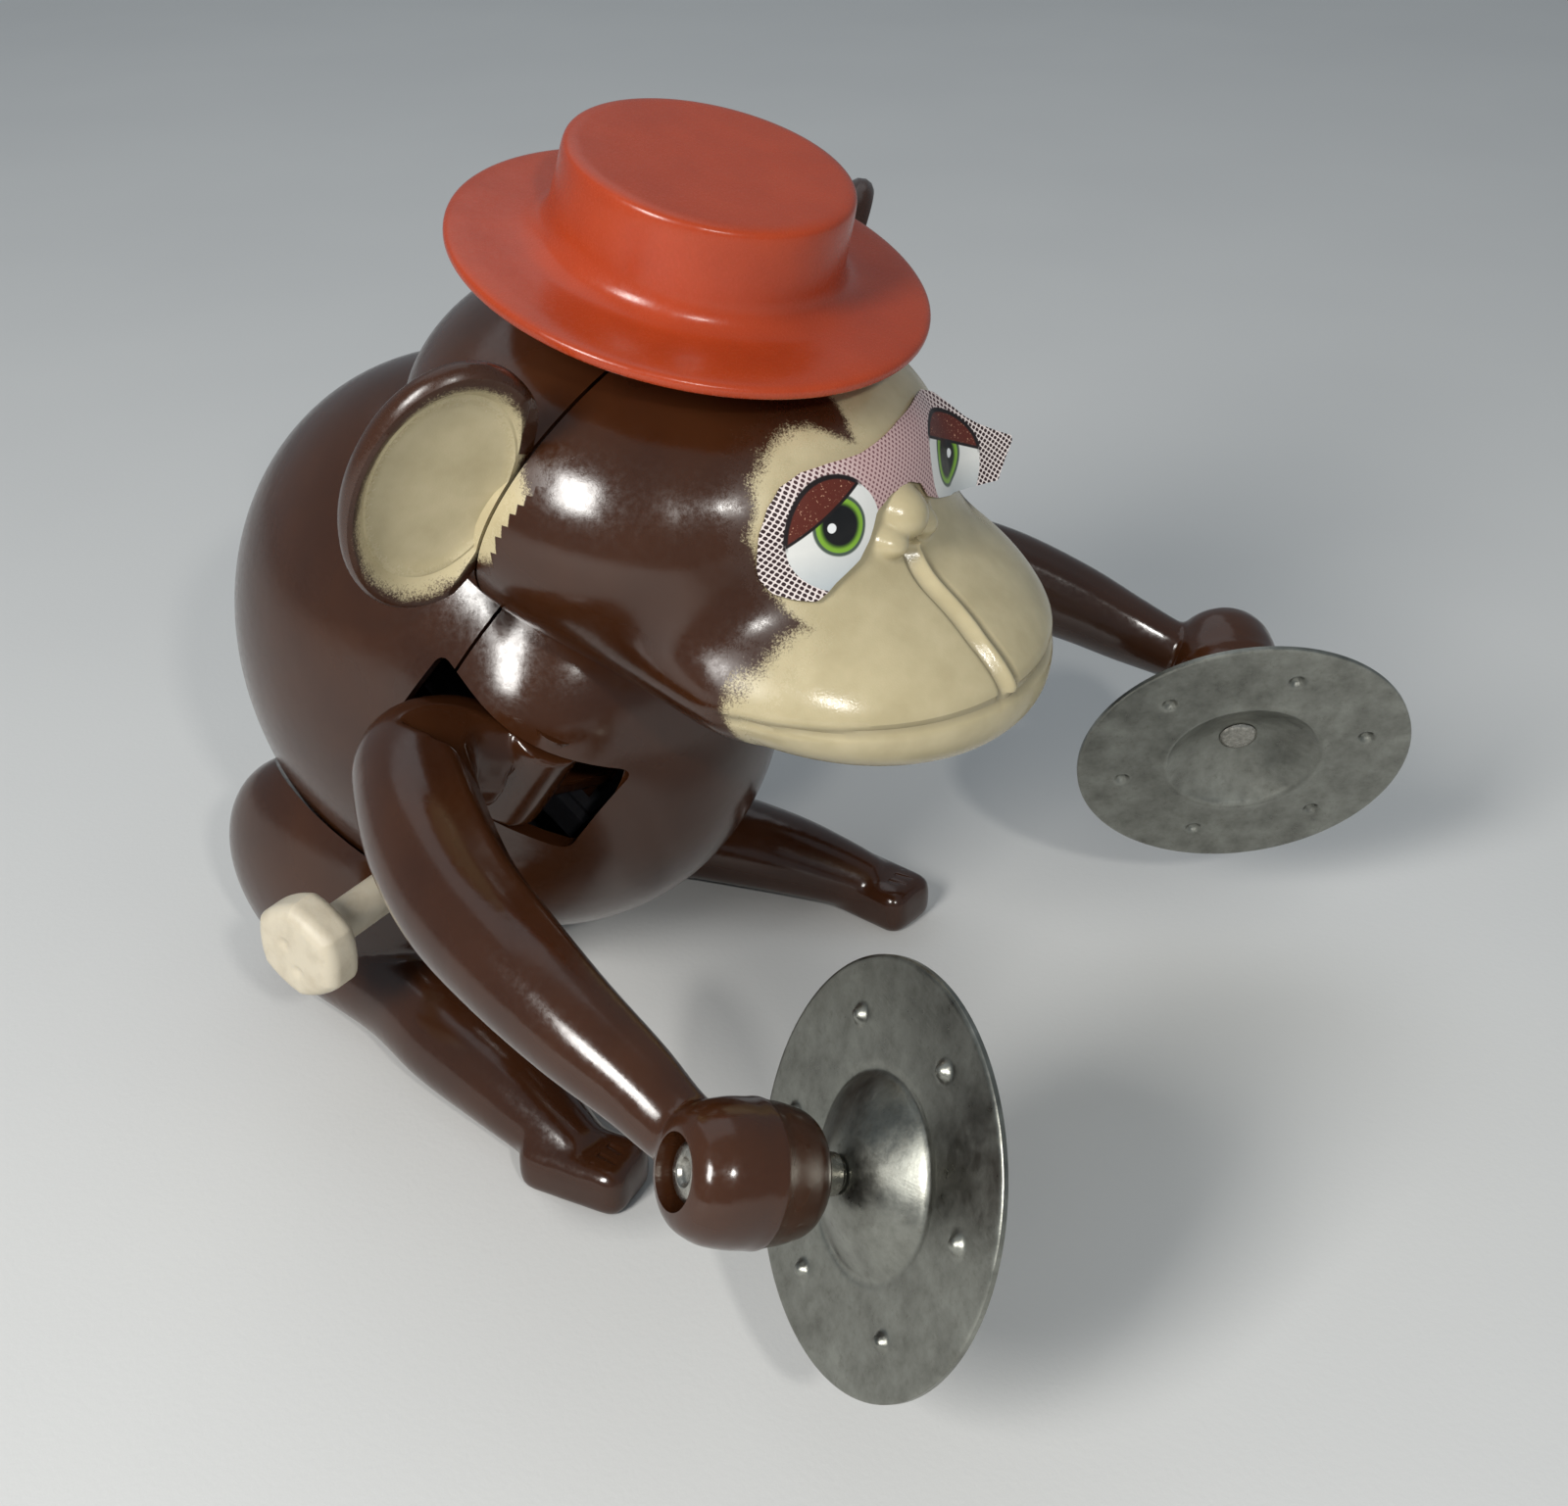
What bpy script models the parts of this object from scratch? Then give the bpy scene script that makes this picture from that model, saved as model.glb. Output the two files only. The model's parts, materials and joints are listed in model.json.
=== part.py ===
"""Wind-up toy monkey that claps two cymbals, in metres, +Z up, facing -Y.

The origin is on the ground under the middle of the toy. The right arm, on the winding side, is at -X.
The arms swing about two parallel axes that lean forwards, so they are drawn in a leaning frame whose
axes are x (across), v (backwards and up) and w (along the arm hinges).
"""

from math import asin, atan2, cos, hypot, pi, radians, sin

import bmesh
import bpy
from mathutils import Matrix, Vector

# --- driving dimensions ------------------------------------------------------------------------

GAP = 0.0003  # between pieces that touch
WELD = 0.0000008  # points closer than this are one
RUNNING = 0.00008  # radial play of a turning fit

SHELL_WALL = 0.0012
SEAM_POINT = (0.0055, 0.055)  # y, z of a point on the parting plane
SEAM_LEAN = radians(25.7)

TORSO_HALF_WIDTH = 0.0207
TORSO_HALF_DEPTH = 0.0267
TORSO_HALF_HEIGHT = 0.0269
TORSO_CENTRE = (0.0222, 0.0338)
TORSO_TILT = radians(3.0)
SHOULDER_CENTRE = (0.0090, 0.0370)
SHOULDER_SEMI = (TORSO_HALF_WIDTH - 0.0012, 0.0120, 0.0120)

HEAD_TILT = radians(15.2)
HEAD_HALF_WIDTH = 0.0220
HEAD_HALF_LENGTH = 0.0218
HEAD_HALF_HEIGHT = 0.0146
HEAD_CENTRE = (0.0026, 0.0568)
MUZZLE_HALF_WIDTH = 0.0187
MUZZLE_HALF_LENGTH = 0.0196
MUZZLE_HALF_HEIGHT = 0.0082
MUZZLE_CENTRE = (-0.0111, 0.0475)
BROW_CENTRE = (-0.0095, 0.0585)
BROW_SEMI = (0.0140, 0.0085, 0.0070)

HAT_BRIM_RADIUS = 0.0187
HAT_BRIM_THICKNESS = 0.0012
HAT_CROWN_RADIUS = 0.0113
HAT_CROWN_HEIGHT = 0.0077
HAT_WALL = 0.0012
HAT_PEG_RADIUS = 0.0030
HAT_PEG_LENGTH = 0.0050

EAR_CENTRE = (0.0252, 0.0050, 0.0622)
EAR_HALF_LENGTH = 0.0112
EAR_HALF_WIDTH = 0.0074
EAR_THICKNESS = 0.0022
EAR_RIM = 0.0016
EAR_RECESS = 0.0007

EYE_HEIGHT = 0.0581
LABEL_HALF_WIDTH = 0.0133
LABEL_HALF_HEIGHT = 0.0036
LABEL_THICKNESS = 0.0002

HINGE_LEAN = radians(34.2)
HUB_INSET = 0.0052  # hub axis in from the widest part of the torso
HUB_V = 0.0251
HUB_LOW, HUB_HIGH = 0.0190, 0.0284
HUB_RADIUS = 0.0032
OPEN_ANGLE = radians(39.2)  # from arms open to the two rims standing parallel
PIVOT_PIN_RADIUS = 0.0008
PIVOT_BOSS_RADIUS = 0.0023
PIVOT_BOSS_LENGTH = 0.0050
SLOT_FRONT, SLOT_BACK = 0.0068, 0.0128  # arm slot in front of and behind the hub axis
TAIL_LENGTH = 0.0090
TAIL_PIN_RADIUS = 0.0009

CYMBAL_RADIUS = 0.0150
CYMBAL_THICKNESS = 0.0006
DOME_RADIUS = 0.0070
DOME_RISE = 0.0028
RIM_PLANE_X = 0.0024  # rim plane to middle plane when the two rims stand parallel
CLAP_GAP = 0.0004  # between each rim's front edge and the middle plane when the cymbals meet
CYMBAL_REACH = 0.0430  # hub axis to cymbal axis when the cymbals meet
CYMBAL_W = 0.0400
RIVET_RADIUS = 0.0015
PEEN_HEIGHT = 0.0004
RIVET_HEAD_RADIUS = 0.0023
RIVET_HEAD_HEIGHT = 0.0009
FIST_RADIUS = 0.0053
FIST_OFFSET = 0.0105  # fist centre behind the cymbal plane

# Arm centreline from the hub to the wrist with the arms open: x outwards, v, w and tube radius.
ARM_ROUTE = (
    (0.0175, 0.0274, 0.0237, 0.0042),
    (0.0208, 0.0297, 0.0239, 0.0044),
    (0.0244, 0.0300, 0.0246, 0.0045),
    (0.0276, 0.0274, 0.0260, 0.0047),
    (0.0314, 0.0228, 0.0279, 0.0048),
    (0.0346, 0.0176, 0.0300, 0.0046),
    (0.0370, 0.0116, 0.0326, 0.0043),
    (0.0386, 0.0052, 0.0348, 0.0038),
    (0.0394, -0.0005, 0.0365, 0.0033),
    (0.0403, -0.0052, 0.0379, 0.0027),
)

THIGH_CENTRE = (0.0134, 0.0322, 0.0124)
THIGH_SEMI = (0.0066, 0.0140, 0.0124)
# Shin centreline along the ground: x outwards, y, z and tube radius.
SHIN_ROUTE = (
    (0.0148, 0.0330, 0.0050, 0.0052),
    (0.0170, 0.0230, 0.0050, 0.0048),
    (0.0196, 0.0150, 0.0050, 0.0048),
    (0.0216, 0.0070, 0.0044, 0.0040),
    (0.0230, 0.0010, 0.0036, 0.0034),
)
FOOT_CENTRE = (0.0240, -0.0032)
FOOT_SIZE = (0.0064, 0.0104, 0.0044)
FOOT_TURN = radians(7.0)
LEG_PEG_RADIUS = 0.0016
LEG_PEG_PLACE = (0.0360, 0.0210)
LEG_PEG_LENGTH = 0.0060

WINDING_PLACE = (0.0224, 0.0174)  # y, z of the winding axis
KNOB_OUTER = 0.0300
KNOB_THICKNESS = 0.0040
KNOB_RADIUS = 0.0046
STEM_RADIUS = 0.0018
SHAFT_RADIUS = 0.0009

GEAR_MODULE = 0.00035
DRIVE_TEETH, SECOND_TEETH, CRANK_TEETH, PINION_TEETH = 32, 28, 24, 8
ESCAPE_TEETH, ESCAPE_RADIUS = 12, 0.0030
ARBOR_RADIUS = 0.0005
CRANK_ARBOR_RADIUS = 0.0006
WHEEL_THICKNESS = 0.0009
PINION_LENGTH = 0.0020
CRANK_DISC_THICKNESS = 0.0012
CRANK_PIN_RADIUS = 0.0007
CRANK_PIN_LENGTH = 0.0015
PALLET_REACH = 0.0040

CASE_LOW_X, CASE_HIGH_X = -0.0066, 0.0038
CASE_WALL = 0.0007
CASE_OUTLINE = (
    (0.0165, 0.01055),
    (0.0270, 0.01055),
    (0.0334, 0.0174),
    (0.0334, 0.0250),
    (0.0290, 0.0296),
    (0.0166, 0.0296),
    (0.0118, 0.0254),
    (0.0118, 0.0180),
)
CASE_REST_X, CASE_REST_Y = (-0.0050, 0.0022), 0.0215
SPRING_LOW_X, SPRING_WIDTH = -0.0054, 0.0028
SPRING_INNER, SPRING_OUTER, SPRING_STRIP, SPRING_TURNS = 0.0021, 0.0052, 0.00025, 3.25

SLIDE_LOW_W, SLIDE_THICKNESS = 0.0170, 0.0012
TRAY_FLOOR = 0.0010
TRAY_FOOT_RADIUS, TRAY_FOOT_LENGTH = 0.0022, 0.0095
SCREW_RADIUS, SCREW_HEAD_RADIUS, SCREW_HEAD_HEIGHT, SCREW_LENGTH = 0.0008, 0.0019, 0.0012, 0.0090
SCREW_BOSS_RADIUS = 0.0030
SCREW_PLACES = (("upper_shell_screw", 0.0, 0.0520), ("left_shell_screw", 0.0135, 0.0215),
                ("right_shell_screw", -0.0135, 0.0215))

# --- sizes that follow from them ---------------------------------------------------------------

HUB_X = TORSO_HALF_WIDTH - HUB_INSET
SLOT_LOW, SLOT_HIGH = HUB_LOW - 0.0004, HUB_HIGH + 0.0004
SWING = OPEN_ANGLE + asin((RIM_PLANE_X - CLAP_GAP) / (CYMBAL_REACH + CYMBAL_RADIUS))
DOME_FACE = -DOME_RISE  # clapping face of the dished centre, from the rim plane
SEAM_NORMAL = Vector((0, cos(SEAM_LEAN), sin(SEAM_LEAN)))
TAIL_REST = SWING / 2
SLIDE_STROKE = 2 * TAIL_LENGTH * sin(TAIL_REST)
CRANK_THROW = SLIDE_STROKE / 2
PITCH = {n: GEAR_MODULE * n / 2 for n in (DRIVE_TEETH, SECOND_TEETH, CRANK_TEETH, PINION_TEETH)}


def arbor_at(start, angle, teeth):
    """Place of the next arbor: a wheel of that many teeth at start drives the pinion there."""
    span = PITCH[teeth] + PITCH[PINION_TEETH]
    return (start[0] + span * cos(angle), start[1] + span * sin(angle))


SECOND_PLACE = arbor_at(WINDING_PLACE, radians(45), DRIVE_TEETH)
CRANK_PLACE = arbor_at(SECOND_PLACE, radians(165), SECOND_TEETH)
ESCAPE_PLACE = arbor_at(CRANK_PLACE, radians(200), CRANK_TEETH)
PALLET_ANGLE = radians(262)
PALLET_PLACE = (
    ESCAPE_PLACE[0] + PALLET_REACH * cos(PALLET_ANGLE),
    ESCAPE_PLACE[1] + PALLET_REACH * sin(PALLET_ANGLE),
)

# --- scene, collections and materials ----------------------------------------------------------

for old in list(bpy.data.objects):
    bpy.data.objects.remove(old, do_unlink=True)

parts = bpy.data.collections.new("windup_monkey")
cutters = bpy.data.collections.new("cutters")
bpy.context.scene.collection.children.link(parts)
bpy.context.scene.collection.children.link(cutters)
cutters.hide_render = True


def material(name, hex_colour, roughness, metallic=0.0):
    """A plain Principled BSDF in an sRGB colour."""
    made = bpy.data.materials.new(name)
    made.use_nodes = True
    shader = made.node_tree.nodes["Principled BSDF"]
    channels = [int(hex_colour[i : i + 2], 16) / 255 for i in (0, 2, 4)]
    linear = [c / 12.92 if c <= 0.04045 else ((c + 0.055) / 1.055) ** 2.4 for c in channels]
    shader.inputs["Base Color"].default_value = (*linear, 1.0)
    shader.inputs["Roughness"].default_value = roughness
    shader.inputs["Metallic"].default_value = metallic
    return made


BROWN = material("brown_styrene", "5a3422", 0.25)
ORANGE = material("orange_polypropylene", "c8492b", 0.3)
LABEL = material("printed_vinyl", "d6d5d1", 0.35)
ZINC = material("zinc_plated_steel", "9a9a94", 0.4, 1.0)
STEEL = material("bright_steel", "b0b0b0", 0.25, 1.0)
SPRING_STEEL = material("blued_spring_steel", "4a5260", 0.3, 1.0)
WHITE = material("natural_nylon", "dcd3c0", 0.5)
ACETAL = material("acetal_gears", "e8e4d8", 0.4)
BLACK = material("black_motor_plastic", "26262a", 0.5)

# --- mesh helpers ------------------------------------------------------------------------------


def add(name, mesh, look=None, collection=parts):
    """A new object from a mesh. Without a look it is a cutter or a guide."""
    made = bpy.data.objects.new(name, mesh)
    collection.objects.link(made)
    if look:
        mesh.materials.clear()
        mesh.materials.append(look)
        mesh.shade_smooth()
        mesh.set_sharp_from_angle(angle=radians(35))
    else:
        made.hide_render = True
        made.display_type = "WIRE"
    return made


def from_bmesh(name, shape, look=None):
    mesh = bpy.data.meshes.new(name)
    shape.to_mesh(mesh)
    shape.free()
    return add(name, mesh, look, parts if look else cutters)


def settle(obj):
    """Makes an object's modifiers and place part of its mesh, and closes up the slivers they leave."""
    bpy.context.view_layer.update()
    graph = bpy.context.evaluated_depsgraph_get()
    mesh = bpy.data.meshes.new_from_object(obj.evaluated_get(graph))
    mesh.transform(obj.matrix_world)
    shape = bmesh.new()
    shape.from_mesh(mesh)
    bmesh.ops.remove_doubles(shape, verts=shape.verts, dist=WELD)
    bmesh.ops.dissolve_degenerate(shape, edges=shape.edges, dist=WELD)
    loose = [face for face in shape.faces if all(len(edge.link_faces) == 1 for edge in face.edges)]
    bmesh.ops.delete(shape, geom=loose, context="FACES")
    shape.to_mesh(mesh)
    shape.free()
    obj.modifiers.clear()
    obj.matrix_world = Matrix.Identity(4)
    obj.data = mesh
    if not obj.hide_render:
        mesh.shade_smooth()
        mesh.set_sharp_from_angle(angle=radians(35))
    return obj


def combine(obj, operation, tools):
    for tool in tools:
        step = obj.modifiers.new(tool.name, "BOOLEAN")
        step.operation = operation
        step.object = tool
        settle(obj)
    return obj


def cut(obj, *tools):
    return combine(obj, "DIFFERENCE", tools)


def join(obj, *tools):
    return combine(obj, "UNION", tools)


def keep_inside(obj, tool):
    return combine(obj, "INTERSECT", [tool])


def cylinder(name, start, end, radius, look=None, sides=16):
    """A round bar from one point to another."""
    start, end = Vector(start), Vector(end)
    shape = bmesh.new()
    bmesh.ops.create_cone(
        shape,
        cap_ends=True,
        segments=sides,
        radius1=radius,
        radius2=radius,
        depth=(end - start).length,
    )
    turn = (end - start).to_track_quat("Z", "Y").to_matrix().to_4x4()
    bmesh.ops.transform(shape, matrix=Matrix.Translation((start + end) / 2) @ turn, verts=shape.verts)
    return from_bmesh(name, shape, look)


def block(name, low, high, look=None, bevel=0.0, frame=None):
    """A box between two corners of a frame, with its edges rounded by bevel."""
    low, high = Vector(low), Vector(high)
    shape = bmesh.new()
    bmesh.ops.create_cube(shape, size=1.0)
    bmesh.ops.scale(shape, vec=high - low, verts=shape.verts)
    bmesh.ops.translate(shape, vec=(low + high) / 2, verts=shape.verts)
    if bevel:
        bmesh.ops.bevel(shape, geom=list(shape.edges), offset=bevel, segments=2, affect="EDGES", profile=0.5)
    if frame:
        bmesh.ops.transform(shape, matrix=frame, verts=shape.verts)
    return from_bmesh(name, shape, look)


def ball(name, centre, semi, look=None, tilt=0.0, rings=14, sides=24):
    """An ellipsoid, tilted about X."""
    shape = bmesh.new()
    bmesh.ops.create_uvsphere(shape, u_segments=sides, v_segments=rings, radius=1.0)
    bmesh.ops.scale(shape, vec=semi, verts=shape.verts)
    place = Matrix.Translation(centre) @ Matrix.Rotation(tilt, 4, "X")
    bmesh.ops.transform(shape, matrix=place, verts=shape.verts)
    return from_bmesh(name, shape, look)


def plate(name, outlines, low_x, high_x, look=None):
    """A flat piece with its outline in y and z, between two values of x. Later outlines are holes."""
    curve = bpy.data.curves.new(name, "CURVE")
    curve.dimensions = "2D"
    curve.fill_mode = "BOTH"
    curve.extrude = (high_x - low_x) / 2
    for outline in outlines:
        spline = curve.splines.new("POLY")
        spline.points.add(len(outline) - 1)
        for point, (y, z) in zip(spline.points, outline):
            point.co = (y, z, 0, 1)
        spline.use_cyclic_u = True
    flat = bpy.data.objects.new(name, curve)
    parts.objects.link(flat)
    bpy.context.view_layer.update()
    mesh = bpy.data.meshes.new_from_object(flat.evaluated_get(bpy.context.evaluated_depsgraph_get()))
    bpy.data.objects.remove(flat, do_unlink=True)
    shape = bmesh.new()
    shape.from_mesh(mesh)
    bmesh.ops.remove_doubles(shape, verts=shape.verts, dist=1e-6)
    across = Matrix(((0, 0, 1, (low_x + high_x) / 2), (1, 0, 0, 0), (0, 1, 0, 0), (0, 0, 0, 1)))
    bmesh.ops.transform(shape, matrix=across, verts=shape.verts)
    bmesh.ops.recalc_face_normals(shape, faces=shape.faces)
    return from_bmesh(name, shape, look)


def tube(name, route, look=None):
    """A smooth round tube through points, each with its own radius."""
    curve = bpy.data.curves.new(name, "CURVE")
    curve.dimensions = "3D"
    curve.bevel_depth = 1.0
    curve.bevel_resolution = 3
    curve.resolution_u = 3
    curve.use_fill_caps = True
    spline = curve.splines.new("BEZIER")
    spline.bezier_points.add(len(route) - 1)
    for point, (place, radius) in zip(spline.bezier_points, route):
        point.co = place
        point.radius = radius
        point.handle_left_type = point.handle_right_type = "AUTO"
    made = bpy.data.objects.new(name, curve)
    parts.objects.link(made)
    bpy.context.view_layer.update()
    mesh = bpy.data.meshes.new_from_object(made.evaluated_get(bpy.context.evaluated_depsgraph_get()))
    bpy.data.objects.remove(made, do_unlink=True)
    shape = bmesh.new()
    shape.from_mesh(mesh)
    bmesh.ops.remove_doubles(shape, verts=shape.verts, dist=1e-6)
    bmesh.ops.recalc_face_normals(shape, faces=shape.faces)
    return from_bmesh(name, shape, look)


def turned(name, profile, place, look=None, steps=32, ring=False):
    """A profile of (radius, height) points, top to bottom outside, turned about the Z of a place.

    A ring's profile is closed and stays clear of the axis.
    """
    mesh = bpy.data.meshes.new(name)
    points = [(radius, 0, height) for radius, height in profile]
    edges = [(i, i + 1) for i in range(len(points) - 1)] + ([(len(points) - 1, 0)] if ring else [])
    mesh.from_pydata(points, edges, [])
    made = add(name, mesh, look, parts if look else cutters)
    made.matrix_world = place
    screw = made.modifiers.new("turn", "SCREW")
    screw.steps = screw.render_steps = steps
    screw.use_merge_vertices = True
    screw.merge_threshold = 1e-5
    if look:
        mesh.shade_smooth()
    return made


def mirrored(obj, name):
    """The same piece on the other side of the toy."""
    mesh = obj.data.copy()
    mesh.transform(Matrix.Scale(-1, 4, (1, 0, 0)))
    mesh.flip_normals()
    look = obj.data.materials[0] if obj.data.materials else None
    return add(name, mesh, look, obj.users_collection[0])


# --- the body's outer form ---------------------------------------------------------------------


def distance_to_ellipsoid(point, centre, semi, tilt):
    """About how far outside the ellipsoid a point is; negative inside."""
    local = Matrix.Rotation(-tilt, 3, "X") @ (point - Vector((0, *centre)))
    near = Vector(local[i] / semi[i] for i in range(3)).length
    steep = Vector(local[i] / semi[i] ** 2 for i in range(3)).length
    return near * (near - 1) / max(steep, 1e-9)


def blend(a, b, width):
    """The union of two distances with a fillet of about that width."""
    share = min(max(0.5 + 0.5 * (b - a) / width, 0.0), 1.0)
    return b * (1 - share) + a * share - width * share * (1 - share)


def torso_distance(point):
    """Egg-shaped torso with the shoulders that carry the arm hinges."""
    torso_semi = (TORSO_HALF_WIDTH, TORSO_HALF_DEPTH, TORSO_HALF_HEIGHT)
    torso = distance_to_ellipsoid(point, TORSO_CENTRE, torso_semi, TORSO_TILT)
    shoulders = distance_to_ellipsoid(point, SHOULDER_CENTRE, SHOULDER_SEMI, -HINGE_LEAN)
    return blend(torso, shoulders, 0.0040)


def head_distance(point):
    """Skull, brow and muzzle, all tipped forwards together."""
    skull_semi = (HEAD_HALF_WIDTH, HEAD_HALF_LENGTH, HEAD_HALF_HEIGHT)
    skull = distance_to_ellipsoid(point, HEAD_CENTRE, skull_semi, HEAD_TILT)
    brow = distance_to_ellipsoid(point, BROW_CENTRE, BROW_SEMI, HEAD_TILT)
    muzzle_semi = (MUZZLE_HALF_WIDTH, MUZZLE_HALF_LENGTH, MUZZLE_HALF_HEIGHT)
    muzzle = distance_to_ellipsoid(point, MUZZLE_CENTRE, muzzle_semi, HEAD_TILT)
    return blend(blend(skull, brow, 0.0030), muzzle, 0.0040)


def surface_point(distance, centre, direction, level):
    """Where a ray from a form's centre reaches the surface moved out by level."""
    near, far = 0.0, FORM_REACH
    for _ in range(18):
        middle = (near + far) / 2
        if distance(centre + direction * middle) > level:
            far = middle
        else:
            near = middle
    return centre + direction * near


def smooth_form(name, distance, centre, level):
    """A sphere pushed onto a form's surface, moved out by level."""
    shape = bmesh.new()
    bmesh.ops.create_uvsphere(shape, u_segments=28, v_segments=18, radius=1.0)
    for vert in shape.verts:
        vert.co = surface_point(distance, centre, vert.co.normalized(), level)
    return from_bmesh(name, shape)


def body_form(name, level):
    """Torso and head as one solid, moved out by level."""
    body = smooth_form(name, torso_distance, TORSO_MIDDLE, level)
    return join(body, smooth_form(f"{name}_head", head_distance, HEAD_MIDDLE, level))


FORM_REACH = 0.050
TORSO_MIDDLE = Vector((0, 0.0200, 0.0350))
HEAD_MIDDLE = Vector((0, -0.0020, 0.0540))


def half_shell(name, inner, beyond):
    """The hollow form with everything beyond the parting plane cut away; no holes or bosses yet."""
    shell = body_form(f"{name}_form", 0.0)
    mesh = cut(shell, inner, beyond).data
    bpy.data.objects.remove(shell, do_unlink=True)
    return add(name, mesh, BROWN)


def half_space(name, side):
    """Everything behind (side 1) or ahead of (side -1) the parting plane, less half the parting gap."""
    reach = 0.08
    low_y, high_y = (0, reach) if side > 0 else (-reach, 0)
    place = Matrix.Translation(Vector((0, *SEAM_POINT)) - SEAM_NORMAL * side * GAP / 2)
    turn = Matrix.Rotation(SEAM_LEAN, 4, "X")
    return block(name, (-reach, low_y, -reach), (reach, high_y, reach), frame=place @ turn)


# --- frames ------------------------------------------------------------------------------------

hinge_frame = Matrix.Rotation(HINGE_LEAN, 4, "X")


def leaning(x, v, w):
    """World place of a point given in the arms' leaning frame."""
    return hinge_frame @ Vector((x, v, w))


hinge_axis = hinge_frame.to_3x3() @ Vector((0, 0, 1))


def swung(x, v, angle):
    """Where a point of the right arm's plane goes when the arm turns about its hub."""
    dx, dv = x + HUB_X, v - HUB_V
    return (-HUB_X + dx * cos(angle) - dv * sin(angle), HUB_V + dx * sin(angle) + dv * cos(angle))


cymbal_x, cymbal_v = swung(-RIM_PLANE_X, HUB_V - CYMBAL_REACH, -OPEN_ANGLE)
cymbal_centre = leaning(cymbal_x, cymbal_v, CYMBAL_W)
cymbal_axis = hinge_frame.to_3x3() @ Vector((cos(OPEN_ANGLE), -sin(OPEN_ANGLE), 0))
cymbal_place = Matrix.Translation(cymbal_centre) @ cymbal_axis.to_track_quat("Z", "Y").to_matrix().to_4x4()
hat_place = Matrix.Translation((0, 0.0008, 0.0718)) @ Matrix.Rotation(HEAD_TILT, 4, "X")


def bore(name, place, low_x, high_x, radius):
    """A cutter along X at a place in y and z."""
    return cylinder(name, (low_x, *place), (high_x, *place), radius, sides=14)


# --- hat ---------------------------------------------------------------------------------------


def make_hat():
    """Flat boater with an open crown and a peg that goes into the top of the head."""
    brim, crown, wall = HAT_BRIM_RADIUS, HAT_CROWN_RADIUS, HAT_WALL
    top = HAT_BRIM_THICKNESS + HAT_CROWN_HEIGHT
    profile = (
        (0, top),
        (crown - 0.0016, top),
        (crown - 0.0006, top - 0.0004),
        (crown - 0.0002, top - 0.0012),
        (crown + 0.0002, HAT_BRIM_THICKNESS + 0.0014),
        (crown + 0.0010, HAT_BRIM_THICKNESS + 0.0004),
        (crown + 0.0020, HAT_BRIM_THICKNESS),
        (brim - 0.0014, HAT_BRIM_THICKNESS),
        (brim - 0.0003, HAT_BRIM_THICKNESS - 0.0002),
        (brim, HAT_BRIM_THICKNESS / 2),
        (brim - 0.0003, 0),
        (crown - wall, 0),
        (crown - wall - 0.0004, top - wall),
        (HAT_PEG_RADIUS, top - wall),
        (HAT_PEG_RADIUS, -HAT_PEG_LENGTH + 0.0005),
        (HAT_PEG_RADIUS - 0.0005, -HAT_PEG_LENGTH),
        (0, -HAT_PEG_LENGTH),
    )
    return turned("hat", profile, hat_place, ORANGE, steps=36)


# --- shells ------------------------------------------------------------------------------------


def slot_cutter(side):
    """The opening in the body's side that the arm passes through."""
    low = (HUB_X - HUB_RADIUS - 0.0006, HUB_V - SLOT_FRONT, SLOT_LOW)
    high = (TORSO_HALF_WIDTH + 0.0060, HUB_V + SLOT_BACK, SLOT_HIGH)
    if side < 0:
        low, high = (-high[0], low[1], low[2]), (-low[0], high[1], high[2])
    return block(f"slot_{side}", low, high, frame=hinge_frame)


def make_ear(side):
    """A flat oval ear with a raised rim, standing out and back from the cheek."""
    centre = Vector((side * EAR_CENTRE[0], EAR_CENTRE[1], EAR_CENTRE[2]))
    up = Vector((0, -0.407, 0.913)).normalized()
    out = Vector((side * 0.85, 0.53, 0)).normalized()
    out = (out - up * out.dot(up)).normalized()
    facing = up.cross(out) * side
    turn = Matrix((out * side, up, facing)).transposed()
    place = Matrix.Translation(centre) @ turn.to_4x4()
    half, rim = EAR_THICKNESS / 2, 1 - EAR_RIM / EAR_HALF_WIDTH
    profile = (
        (0, half - EAR_RECESS),
        (rim - 0.12, half - EAR_RECESS + 0.0001),
        (rim, half),
        (0.93, half),
        (1.0, 0),
        (0.92, -half),
        (0, -half - 0.0003),
    )
    ear = turned(f"ear_{side}", profile, place @ Matrix.Diagonal((EAR_HALF_WIDTH, EAR_HALF_LENGTH, 1, 1)), steps=28)
    return settle(ear)


def pivot_bosses(side):
    """The two moulded bosses above and below the arm slot that hold the arm's pivot pin."""
    x = side * HUB_X
    low = cylinder(
        f"boss_low_{side}",
        leaning(x, HUB_V, SLOT_LOW - PIVOT_BOSS_LENGTH),
        leaning(x, HUB_V, SLOT_LOW - 0.0001),
        PIVOT_BOSS_RADIUS,
    )
    high = cylinder(
        f"boss_high_{side}",
        leaning(x, HUB_V, SLOT_HIGH + 0.0001),
        leaning(x, HUB_V, SLOT_HIGH + PIVOT_BOSS_LENGTH),
        PIVOT_BOSS_RADIUS,
    )
    return low, high


def screw_line(x, z):
    """The point where a shell screw crosses the parting plane."""
    y = SEAM_POINT[0] - (z - SEAM_POINT[1]) * sin(SEAM_LEAN) / cos(SEAM_LEAN)
    return Vector((x, y, z))


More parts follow.
